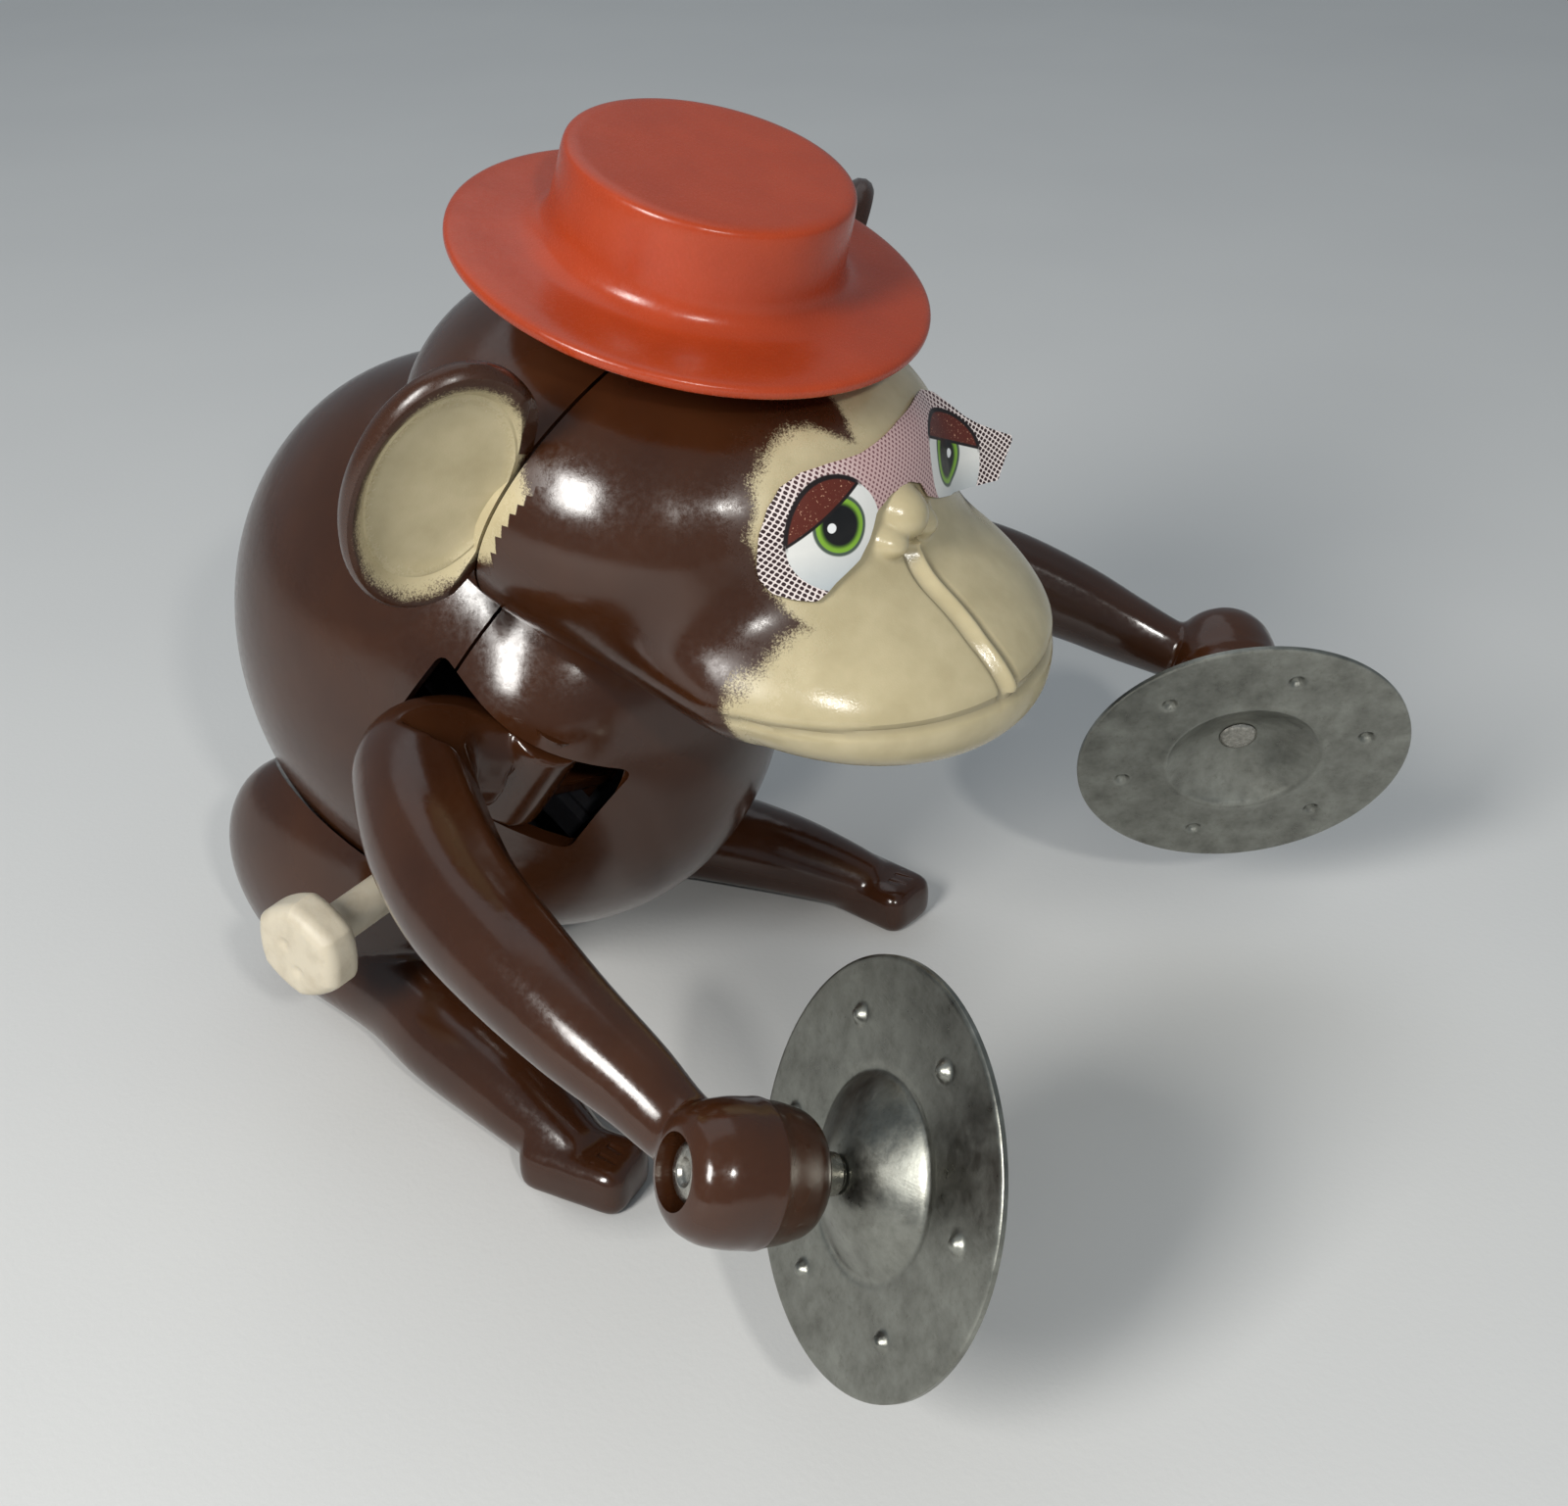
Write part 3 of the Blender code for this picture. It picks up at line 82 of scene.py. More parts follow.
def new_material(name):
    """A material with its tree, its Principled shader and its object coordinates in millimetres."""
    made = bpy.data.materials.new(name)
    made.use_nodes = True
    tree = made.node_tree
    shader = tree.nodes["Principled BSDF"]
    place = node(tree, "ShaderNodeTexCoord").outputs["Object"]
    scaled = node(tree, "ShaderNodeVectorMath", {0: place, "Scale": 1000.0}, operation="SCALE")
    return made, tree, shader, scaled.outputs[0]


def noise(tree, place, size_mm, detail=3.0, rough=0.55):
    """Noise whose main features are about size_mm across, from 0 to 1."""
    made = node(tree, "ShaderNodeTexNoise",
                {"Vector": place, "Scale": 1 / size_mm, "Detail": detail, "Roughness": rough})
    return made.outputs["Fac"]


def math(tree, operation, a, b=0.0, clamp=False):
    return node(tree, "ShaderNodeMath", {0: a, 1: b}, operation=operation, use_clamp=clamp).outputs[0]


def ramp(tree, value, low, high, to_low=0.0, to_high=1.0):
    made = node(tree, "ShaderNodeMapRange", {"Value": value, "From Min": low, "From Max": high,
                                             "To Min": to_low, "To Max": to_high})
    return made.outputs[0]


def mix(tree, factor, a, b):
    made = node(tree, "ShaderNodeMix", data_type="RGBA")
    for socket, value in ((made.inputs[0], factor), (made.inputs[6], a), (made.inputs[7], b)):
        if isinstance(value, bpy.types.NodeSocket):
            tree.links.new(value, socket)
        else:
            socket.default_value = value
    return made.outputs[2]


def bump(tree, shader, height, depth_mm):
    made = node(tree, "ShaderNodeBump", {"Height": height, "Distance": depth_mm * MM, "Strength": 1.0})
    tree.links.new(made.outputs[0], shader.inputs["Normal"])


def join_to(tree, shader, **links):
    for key, socket in links.items():
        tree.links.new(socket, shader.inputs[key.replace("_", " ")])


# --- materials ---------------------------------------------------------------------------------


def moulded_styrene(brown, tan):
    """High-impact polystyrene, injection moulded, with tan paint misted on through a mask.

    The gloss is high but slightly wavy. The mist is dense in the middle and breaks up into fine
    droplets along its edge.
    """
    made, tree, shader, place = new_material("moulded_styrene_misted")
    blotch = noise(tree, place, 9.0, 2.0)
    plastic = mix(tree, ramp(tree, blotch, 0.3, 0.7), linear(brown[0]), linear(brown[1]))
    edge = node(tree, "ShaderNodeAttribute", attribute_name="mist").outputs["Fac"]
    droplets = noise(tree, place, 0.16, 2.0, 0.8)
    drift = noise(tree, place, 1.6, 2.0)
    reach = math(tree, "ADD", edge, math(tree, "MULTIPLY", math(tree, "SUBTRACT", drift, 0.5), 0.7))
    reach = math(tree, "ADD", reach, math(tree, "MULTIPLY", math(tree, "SUBTRACT", droplets, 0.5), 1.7))
    cover = ramp(tree, reach, -0.22, 0.30)
    streak = noise(tree, place, 3.4, 3.0)
    paint = mix(tree, ramp(tree, streak, 0.3, 0.7), linear(tan[0]), linear(tan[1]))
    # Painted shade: the tan is darkened to 7b735e along the mouth line and beside the ridge under the nose,
    # where shade falls in the hollows.
    crease_shade = node(tree, "ShaderNodeAttribute", attribute_name="painted_groove_shade").outputs["Fac"]
    paint = mix(tree, crease_shade, paint, linear("7b735e"))
    join_to(tree, shader, Base_Color=mix(tree, cover, plastic, paint))
    scuff = noise(tree, place, 0.5, 4.0, 0.7)
    gloss = ramp(tree, scuff, 0.35, 0.75, 0.13, 0.27)
    off_edge = math(tree, "ABSOLUTE", ramp(tree, reach, -1.5, 1.5, -1, 1))
    speckle = math(tree, "MULTIPLY", math(tree, "SUBTRACT", 1.0, off_edge), 0.25, True)
    join_to(tree, shader, Roughness=math(tree, "ADD", gloss, speckle))
    wave = math(tree, "MULTIPLY", noise(tree, place, 5.0, 2.0), 0.05)
    grain = math(tree, "MULTIPLY", math(tree, "MULTIPLY", cover, droplets), 0.012)
    fine = math(tree, "MULTIPLY", scuff, 0.006)
    bump(tree, shader, math(tree, "ADD", wave, math(tree, "ADD", grain, fine)), 1.0)
    shader.inputs["IOR"].default_value = 1.55
    shader.inputs["Subsurface Weight"].default_value = 0.04
    shader.inputs["Subsurface Radius"].default_value = (0.6, 0.3, 0.2)
    shader.inputs["Subsurface Scale"].default_value = 0.001
    return made


def moulded_polypropylene(colour):
    """Polypropylene, injection moulded: softer gloss, slightly waxy, with flow marks."""
    made, tree, shader, place = new_material("moulded_polypropylene")
    flow = noise(tree, place, 7.0, 2.0)
    tone = mix(tree, ramp(tree, flow, 0.3, 0.7), linear(colour[0]), linear(colour[1]))
    join_to(tree, shader, Base_Color=tone)
    scuff = noise(tree, place, 0.45, 4.0, 0.7)
    join_to(tree, shader, Roughness=ramp(tree, scuff, 0.3, 0.8, 0.20, 0.36))
    wave = math(tree, "MULTIPLY", noise(tree, place, 4.0, 2.0), 0.05)
    bump(tree, shader, math(tree, "ADD", wave, math(tree, "MULTIPLY", scuff, 0.008)), 1.0)
    shader.inputs["IOR"].default_value = 1.49
    shader.inputs["Subsurface Weight"].default_value = 0.05
    shader.inputs["Subsurface Radius"].default_value = (1.0, 0.25, 0.12)
    shader.inputs["Subsurface Scale"].default_value = 0.0015
    return made


def moulded_nylon(name, light, dark, rough):
    """Nylon or acetal, injection moulded: satin, waxy, a little dirty in patches."""
    made, tree, shader, place = new_material(name)
    dirt = noise(tree, place, 2.2, 4.0, 0.6)
    join_to(tree, shader, Base_Color=mix(tree, ramp(tree, dirt, 0.45, 0.8), linear(light), linear(dark)))
    grain = noise(tree, place, 0.3, 4.0, 0.7)
    join_to(tree, shader, Roughness=ramp(tree, grain, 0.3, 0.8, rough, rough + 0.2))
    bump(tree, shader, math(tree, "MULTIPLY", grain, 0.02), 1.0)
    shader.inputs["IOR"].default_value = 1.53
    shader.inputs["Subsurface Weight"].default_value = 0.15
    shader.inputs["Subsurface Radius"].default_value = (1.0, 0.8, 0.5)
    shader.inputs["Subsurface Scale"].default_value = 0.001
    return made


def plated_sheet():
    """Mild steel sheet, pressed and zinc plated: grey, cloudy, with rolling lines and stains."""
    made, tree, shader, place = new_material("zinc_plated_sheet")
    cloud = noise(tree, place, 3.2, 5.0, 0.65)
    spot = noise(tree, place, 0.7, 5.0, 0.75)
    rolled = node(tree, "ShaderNodeMapping", {"Vector": place, "Scale": (0.3, 0.3, 4.0)}).outputs[0]
    lines = noise(tree, rolled, 0.8, 3.0)
    tone = mix(tree, ramp(tree, cloud, 0.3, 0.7), linear("74746d"), linear("9fa098"))
    tone = mix(tree, ramp(tree, spot, 0.55, 0.75, 0.0, 0.5), tone, linear("6b675e"))
    join_to(tree, shader, Base_Color=tone)
    rough = math(tree, "ADD", ramp(tree, cloud, 0.3, 0.75, 0.24, 0.42), ramp(tree, spot, 0.4, 0.8, 0.0, 0.14))
    join_to(tree, shader, Roughness=rough)
    height = math(tree, "ADD", math(tree, "MULTIPLY", lines, 0.008), math(tree, "MULTIPLY", spot, 0.012))
    bump(tree, shader, math(tree, "ADD", height, math(tree, "MULTIPLY", cloud, 0.03)), 1.0)
    shader.inputs["Metallic"].default_value = 1.0
    return made


def drawn_steel(name, light, dark, rough):
    """Steel wire or strip, drawn or rolled: bright, with fine marks."""
    made, tree, shader, place = new_material(name)
    marks = noise(tree, place, 0.35, 4.0, 0.7)
    join_to(tree, shader, Base_Color=mix(tree, ramp(tree, marks, 0.35, 0.7), linear(light), linear(dark)))
    join_to(tree, shader, Roughness=ramp(tree, marks, 0.3, 0.8, rough, rough + 0.18))
    bump(tree, shader, math(tree, "MULTIPLY", marks, 0.012), 1.0)
    shader.inputs["Metallic"].default_value = 1.0
    return made


# Eye art, in millimetres seen from the front: |x| from the middle, z from the ground.
EYE = (7.95, 57.6)
EYE_SEMI = (3.95, 3.95)
IRIS = (7.65, 58.2)
IRIS_SEMI = (2.25, 2.25)
GLINT = (8.40, 58.2)
GLINT_SEMI = (0.36, 0.36)
LID_SLOPE, LID_HEIGHT = 0.46, 63.05
HALFTONE_PITCH = 1.0
LABEL_SHIFT = 0.3


def printed_vinyl():
    """Vinyl film, screen printed: sharp ink edges, a halftone ground, satin varnish."""
    made, tree, shader, place = new_material("printed_vinyl")
    split = node(tree, "ShaderNodeSeparateXYZ", {0: place}).outputs
    across, up = math(tree, "ABSOLUTE", math(tree, "ADD", split["X"], LABEL_SHIFT)), split["Z"]

    def oval(centre, semi, shear=0.0):
        """About how far outside an oval a point is, in millimetres."""
        dx = math(tree, "SUBTRACT", across, centre[0])
        dz = math(tree, "SUBTRACT", up, centre[1])
        dz = math(tree, "ADD", dz, math(tree, "MULTIPLY", dx, shear))
        dx, dz = math(tree, "DIVIDE", dx, semi[0]), math(tree, "DIVIDE", dz, semi[1])
        squares = math(tree, "ADD", math(tree, "MULTIPLY", dx, dx), math(tree, "MULTIPLY", dz, dz))
        far = math(tree, "SQRT", squares)
        return math(tree, "MULTIPLY", math(tree, "SUBTRACT", far, 1.0), min(semi))

    def inside(distance, soft=0.03):
        return ramp(tree, distance, soft, -soft)

    phase = 2 * pi / HALFTONE_PITCH
    turned_a = math(tree, "ADD", split["X"], up)
    turned_b = math(tree, "SUBTRACT", split["X"], up)
    dots = math(tree, "MULTIPLY", math(tree, "SINE", math(tree, "MULTIPLY", turned_a, phase)),
                math(tree, "SINE", math(tree, "MULTIPLY", turned_b, phase)))
    weight = ramp(tree, across, 5.0, 12.0, 0.62, 0.34)
    ground = mix(tree, ramp(tree, math(tree, "SUBTRACT", math(tree, "ABSOLUTE", dots), weight), -0.08, 0.08),
                 mix(tree, ramp(tree, across, 4.0, 11.0), linear("c9aaa8"), linear("e6dad6")),
                 mix(tree, ramp(tree, across, 5.0, 11.0), linear("7a5458"), linear("2e1a1c")))
    eye = oval(EYE, EYE_SEMI, 0.10)
    white = mix(tree, ramp(tree, up, 54.0, 57.0), linear("b3babd"), linear("e3e3df"))
    colour = mix(tree, inside(eye), ground, white)
    iris = oval(IRIS, IRIS_SEMI)
    colour = mix(tree, inside(iris, 0.06), colour, linear("4c5a4e"))
    colour = mix(tree, inside(math(tree, "ADD", iris, 0.26)), colour, linear("7fae34"))
    colour = mix(tree, inside(math(tree, "ADD", iris, 0.62), 0.12), colour, linear("35501a"))
    colour = mix(tree, inside(math(tree, "ADD", iris, 0.80), 0.05), colour, linear("08080a"))
    colour = mix(tree, inside(oval(GLINT, GLINT_SEMI)), colour, linear("f2f4f4"))
    slope = math(tree, "ADD", math(tree, "MULTIPLY", across, LID_SLOPE), -LID_HEIGHT)
    lid_line = math(tree, "ADD", up, slope)
    glitter = noise(tree, place, 0.16, 1.0, 0.5)
    lid = mix(tree, ramp(tree, glitter, 0.66, 0.72), linear("5a2216"), linear("b98a70"))
    in_lid = math(tree, "MULTIPLY", inside(eye), ramp(tree, lid_line, -0.03, 0.03))
    colour = mix(tree, in_lid, colour, lid)
    rim = math(tree, "MULTIPLY", ramp(tree, math(tree, "ABSOLUTE", eye), 0.20, 0.12),
               ramp(tree, lid_line, -0.5, 0.2))
    crease = math(tree, "MULTIPLY", inside(eye), ramp(tree, math(tree, "ABSOLUTE", lid_line), 0.16, 0.09))
    colour = mix(tree, math(tree, "MAXIMUM", rim, crease), colour, linear("160c0c"))
    join_to(tree, shader, Base_Color=colour)
    wrinkle = noise(tree, place, 1.2, 3.0)
    join_to(tree, shader, Roughness=ramp(tree, wrinkle, 0.3, 0.7, 0.34, 0.46))
    bump(tree, shader, math(tree, "MULTIPLY", wrinkle, 0.02), 1.0)
    shader.inputs["IOR"].default_value = 1.5
    return made


def paper_sweep():
    """Matt paper sheet: pale, almost even, with a faint tooth."""
    made, tree, shader, place = new_material("matt_paper")
    tone = noise(tree, place, 60.0, 2.0)
    join_to(tree, shader, Base_Color=mix(tree, tone, linear("d2d2d1"), linear("dadad8")))
    tooth = noise(tree, place, 0.6, 3.0)
    bump(tree, shader, math(tree, "MULTIPLY", tooth, 0.02), 1.0)
    shader.inputs["Roughness"].default_value = 0.75
    return made


# --- settings ----------------------------------------------------------------------------------


class MonkeyBody(bpy.types.PropertyGroup):
    shell_wall: FloatProperty(name="Shell wall", description="Thickness of the moulded shells",
                              default=0.0012, unit="LENGTH")
    seam_gap: FloatProperty(name="Seam gap", description="Gap between the two shells",
                            default=0.0003, unit="LENGTH")


class MonkeyCymbals(bpy.types.PropertyGroup):
    radius: FloatProperty(name="Radius", description="Radius of each cymbal", default=0.0150, unit="LENGTH")
    dome_radius: FloatProperty(name="Dome radius", description="Radius of the dished centre", default=0.0070,
                               unit="LENGTH")
    dome_rise: FloatProperty(name="Dome rise", description="Depth of the dished centre", default=0.0028,
                             unit="LENGTH")
    thickness: FloatProperty(name="Sheet", description="Thickness of the pressed sheet", default=0.0006,
                             unit="LENGTH")


# --- meshes ------------------------------------------------------------------------------------


def from_arrays(name, points, faces):
    mesh = bpy.data.meshes.new(name)
    mesh.from_pydata([tuple(p) for p in points], [], [tuple(f) for f in faces])
    shape = bmesh.new()
    shape.from_mesh(mesh)
    bmesh.ops.remove_doubles(shape, verts=shape.verts, dist=1e-7)
    bmesh.ops.recalc_face_normals(shape, faces=shape.faces)
    if shape.calc_volume(signed=True) < 0:
        bmesh.ops.reverse_faces(shape, faces=shape.faces)
    shape.to_mesh(mesh)
    shape.free()
    made = bpy.data.objects.new(name, mesh)
    bpy.context.scene.collection.objects.link(made)
    return made


def settle(obj):
    """Makes an object's modifiers and place part of its mesh."""
    bpy.context.view_layer.update()
    graph = bpy.context.evaluated_depsgraph_get()
    mesh = bpy.data.meshes.new_from_object(obj.evaluated_get(graph))
    mesh.transform(obj.matrix_world)
    obj.modifiers.clear()
    obj.matrix_world = Matrix.Identity(4)
    obj.data = mesh
    return obj


def combine(obj, operation, *tools):
    """Boolean with each tool in turn; the tools are used up."""
    for tool in tools:
        step = obj.modifiers.new("combine", "BOOLEAN")
        step.operation = operation
        step.solver = "MANIFOLD"
        step.object = tool
        settle(obj)
        if not len(obj.data.polygons):
            raise RuntimeError(f"{obj.name} vanished when combined with {tool.name}")
    for tool in set(tools):
        bpy.data.objects.remove(tool, do_unlink=True)
    return obj


def copy_of(obj):
    made = obj.copy()
    made.data = obj.data.copy()
    bpy.context.scene.collection.objects.link(made)
    return made


def mirrored(obj, name):
    made = copy_of(obj)
    made.name = name
    made.data.transform(Matrix.Scale(-1, 4, (1, 0, 0)))
    made.data.flip_normals()
    return made


def soften(obj, voxel_mm, passes):
    """Melts a joined piece together, so that its inner corners turn into fillets."""
    remesh = obj.modifiers.new("melt", "REMESH")
    remesh.mode = "VOXEL"
    remesh.voxel_size = voxel_mm * MM
    ease = obj.modifiers.new("ease", "SMOOTH")
    ease.factor = 0.5
    ease.iterations = passes
    return settle(obj)


def finish(obj, body, look, nodes=(), sharp=38):
    """Shades a piece, gives it its material and hangs it on its body."""
    mesh = obj.data
    mesh.materials.clear()
    mesh.materials.append(look)
    for poly in mesh.polygons:
        poly.material_index = 0
    mesh.shade_smooth()
    mesh.set_sharp_from_angle(angle=radians(sharp))
    if nodes:
        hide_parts(*nodes)
    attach(obj, body)
    return obj


def lathe(name, profile, place, steps, ring=False):
    """Closed turned piece from (radius, height) points, about the Z of a place."""
    points, faces = [], []
    count = len(profile)
    for i in range(steps):
        angle = 2 * pi * i / steps
        for radius, height in profile:
            points.append(place @ Vector((radius * cos(angle), radius * sin(angle), height)))
    last = count if ring else count - 1
    for i in range(steps):
        j = (i + 1) % steps
        for k in range(last):
            m = (k + 1) % count
            quad = [i * count + k, j * count + k, j * count + m, i * count + m]
            if profile[k][0] == 0:
                quad = [quad[0], quad[2], quad[3]]
            elif profile[m][0] == 0:
                quad = quad[:3]
            faces.append(quad)
    return from_arrays(name, points, faces)


def rounded(profile, radius, steps=4):
    """The same profile with its inner corners replaced by arcs of about that radius."""
    result = [profile[0]]
    for before, corner, after in zip(profile, profile[1:], profile[2:]):
        a, c, b = (np.array(p, float) for p in (before, corner, after))
        la, lb = np.linalg.norm(a - c), np.linalg.norm(b - c)
        cut_a, cut_b = min(radius, la * 0.45), min(radius, lb * 0.45)
        p, q = c + (a - c) / la * cut_a, c + (b - c) / lb * cut_b
        for i in range(steps + 1):
            t = i / steps
            result.append(tuple((1 - t) ** 2 * p + 2 * t * (1 - t) * c + t**2 * q))
    return result + [profile[-1]]


def cylinder(name, start, end, radius, sides=48):
    start, end = Vector(start), Vector(end)
    place = Matrix.Translation(start) @ (end - start).to_track_quat("Z", "Y").to_matrix().to_4x4()
    length = (end - start).length
    return lathe(name, [(0, length), (radius, length), (radius, 0), (0, 0)], place, sides)


def block(name, low, high, place, bevel=0.0):
    shape = bmesh.new()
    bmesh.ops.create_cube(shape, size=1.0)
    low, high = Vector(low), Vector(high)
    bmesh.ops.scale(shape, vec=high - low, verts=shape.verts)
    bmesh.ops.translate(shape, vec=(low + high) / 2, verts=shape.verts)
    if bevel:
        bmesh.ops.bevel(shape, geom=list(shape.edges), offset=bevel, segments=4, affect="EDGES", profile=0.5)
    bmesh.ops.transform(shape, matrix=place, verts=shape.verts)
    mesh = bpy.data.meshes.new(name)
    shape.to_mesh(mesh)
    shape.free()
    made = bpy.data.objects.new(name, mesh)
    bpy.context.scene.collection.objects.link(made)
    return made


# --- forms, in millimetres ---------------------------------------------------------------------


def ellipsoid(points, centre, semi, tilt=0.0):
    """About how far outside a tilted ellipsoid each point is."""
    q = points - np.array(centre, float)
    c, s = cos(tilt), sin(tilt)
    q = np.stack([q[:, 0], q[:, 1] * c + q[:, 2] * s, q[:, 2] * c - q[:, 1] * s], 1) / np.array(semi)
    near = np.linalg.norm(q, axis=1)
    steep = np.linalg.norm(q / np.array(semi), axis=1)
    return near * (near - 1) / np.maximum(steep, 1e-9)


def melt(a, b, width):
    share = np.clip(0.5 + 0.5 * (b - a) / width, 0, 1)
    return b * (1 - share) + a * share - width * share * (1 - share)


def rounded_box(points, centre, semi, corner, turn=0.0):
    q = points - np.array(centre, float)
    c, s = cos(turn), sin(turn)
    q = np.stack([q[:, 0] * c + q[:, 1] * s, q[:, 1] * c - q[:, 0] * s, q[:, 2]], 1)
    d = np.abs(q) - (np.array(semi) - corner)
    return np.linalg.norm(np.maximum(d, 0), axis=1) + np.minimum(d.max(axis=1), 0) - corner


def sphere_directions(rings, sides, front=0.0):
    """Directions of a sphere's points, and its faces, with the sides packed towards -Y by front."""
    u = np.linspace(0, pi, rings + 1)
    polar = u + 0.18 * np.sin(2 * u)
    t = np.arange(sides) * 2 * pi / sides
    turn = t - front * np.sin(t)
    directions = [(0, 0, 1)]
    for p in polar[1:-1]:
        for a in turn:
            directions.append((sin(p) * sin(a), -sin(p) * cos(a), cos(p)))
    directions.append((0, 0, -1))
    faces = [(0, 1 + i, 1 + (i + 1) % sides) for i in range(sides)]
    for r in range(rings - 2):
        a, b = 1 + r * sides, 1 + (r + 1) * sides
        faces += [(a + i, b + i, b + (i + 1) % sides, a + (i + 1) % sides) for i in range(sides)]
    end, a = len(directions) - 1, 1 + (rings - 2) * sides
    faces += [(a + (i + 1) % sides, a + i, end) for i in range(sides)]
    return np.array(directions), faces


def pushed(name, distance, centre, reach, rings, sides, front=0.0):
    """A sphere whose points are pushed out onto the surface where distance is zero."""
    directions, faces = sphere_directions(rings, sides, front)
    near, far = np.zeros(len(directions)), np.full(len(directions), float(reach))
    centre = np.array(centre, float)
    for _ in range(HALVINGS):
        middle = (near + far) / 2
        outside = distance(centre + directions * middle[:, None]) > 0
        far, near = np.where(outside, middle, far), np.where(outside, near, middle)
    return from_arrays(name, (centre + directions * near[:, None]) * MM, faces)


HEAD_MIDDLE = (0, -2.0, 54.0)
TORSO_MIDDLE = (0, 20.0, 35.0)
NOSE_X = -1.0
HINGE_LEAN = radians(34.2)


def plain_head(p):
    skull = ellipsoid(p, (0, 2.6, 56.8), (22.0, 21.8, 14.6), HEAD_TILT)
    brow = ellipsoid(p, (0, -9.5, 58.5), (14.0, 8.5, 7.0), HEAD_TILT)
    muzzle = ellipsoid(p, (0, -11.1, 47.5), (18.7, 19.6, 8.2), HEAD_TILT)
    return melt(melt(skull, brow, 3.0), muzzle, 4.0)


def mouth_height(p):
    return 45.0 + 0.065 * (p[:, 1] + 29.1)


def ridge_x(z):
    return NOSE_X - 1.3 * np.clip((54.0 - z) / 5.0, 0, 1)


def head_form(p):
    """The head with its nose, nostrils, brow, the ridge under the nose and the mouth line."""
    d = plain_head(p)
    front = np.clip((-12.5 - p[:, 1]) / 3.0, 0, 1)
    lift = p[:, 2] - mouth_height(p)
    d = d + front * (0.38 * np.exp(-((lift / 0.42) ** 2)) + 0.5 / (1 + np.exp(np.clip(lift / 0.35, -30, 30))))
    nose = ellipsoid(p, (NOSE_X, -17.9, 57.0), (2.5, 3.0, 2.2), 0.3)
    for side in (-1, 1):
        nose = melt(nose, ellipsoid(p, (NOSE_X + side * 2.2, -18.6, 55.6), (1.6, 2.0, 1.2), 0.3), 0.35)
    d = melt(d, nose, 0.7)
    along = (p[:, 2] > 44.6) & (p[:, 2] < 54.8) & (p[:, 1] < -15)
    fade = np.clip((p[:, 2] - 44.6) / 0.8, 0, 1) * along
    off = p[:, 0] - ridge_x(p[:, 2])
    wide = 0.5 + 0.25 * np.clip((46.5 - p[:, 2]) / 1.5, 0, 1)
    ridge = 0.46 * np.exp(-((off / wide) ** 2)) - 0.22 * np.exp(-(((np.abs(off) - 1.05) / 0.26) ** 2))
    return d - fade * ridge


def torso_form(p):
    torso = ellipsoid(p, (0, 22.2, 33.8), (20.7, 26.7, 26.9), radians(3))
    shoulders = ellipsoid(p, (0, 9.0, 37.0), (19.5, 12.0, 12.0), -HINGE_LEAN)
    return melt(torso, shoulders, 4.0)


MIST_OUTLINE = ((-18.9, 43.5), (-18.7, 47.0), (-17.4, 49.2), (-16.0, 50.2), (-14.2, 51.4), (-12.5, 52.0),
                (-12.9, 52.9), (-13.3, 54.5), (-13.9, 58.5), (-12.2, 61.9), (-10.1, 63.6), (-7.3, 64.5),
                (-5.6, 64.2), (-4.2, 63.2), (-3.5, 62.9), (-2.9, 63.8), (-2.2, 65.5), (0, 67.0), (4, 67.5),
                (9, 66.5), (12.4, 63.5), (14.1, 58.5), (13.3, 54.5), (12.5, 52.0), (14.2, 51.4), (16.0, 50.2),
                (17.4, 49.2), (18.7, 47.0), (18.9, 43.5), (17.0, 34.0), (-17.0, 34.0))


def outline_distance(x, z, outline):
    """How far inside a closed outline each point is; negative outside."""
    best = np.full(len(x), 1e9)
    odd = np.zeros(len(x), bool)
    for (ax, az), (bx, bz) in zip(outline, outline[1:] + outline[:1]):
        dx, dz = bx - ax, bz - az
        t = np.clip(((x - ax) * dx + (z - az) * dz) / max(dx * dx + dz * dz, 1e-12), 0, 1)
        best = np.minimum(best, np.hypot(x - ax - t * dx, z - az - t * dz))
        crosses = ((az > z) != (bz > z)) & (x < dx * (z - az) / np.where(dz == 0, 1e-12, dz) + ax)
        odd ^= crosses
    return np.where(odd, best, -best)


UNMISTED = -9.0
EAR_UP = Vector((0, -0.407, 0.913)).normalized()
EAR_CENTRE = (25.2, 5.0, 62.2)


def ear_place(side):
    out = Vector((side * 0.85, 0.53, 0))
    out = (out - EAR_UP * out.dot(EAR_UP)).normalized()
    facing = out.cross(EAR_UP) * side
    turn = Matrix((out * side, EAR_UP, facing)).transposed()
    return Matrix.Translation(Vector((side * EAR_CENTRE[0], *EAR_CENTRE[1:]))) @ turn.to_4x4()


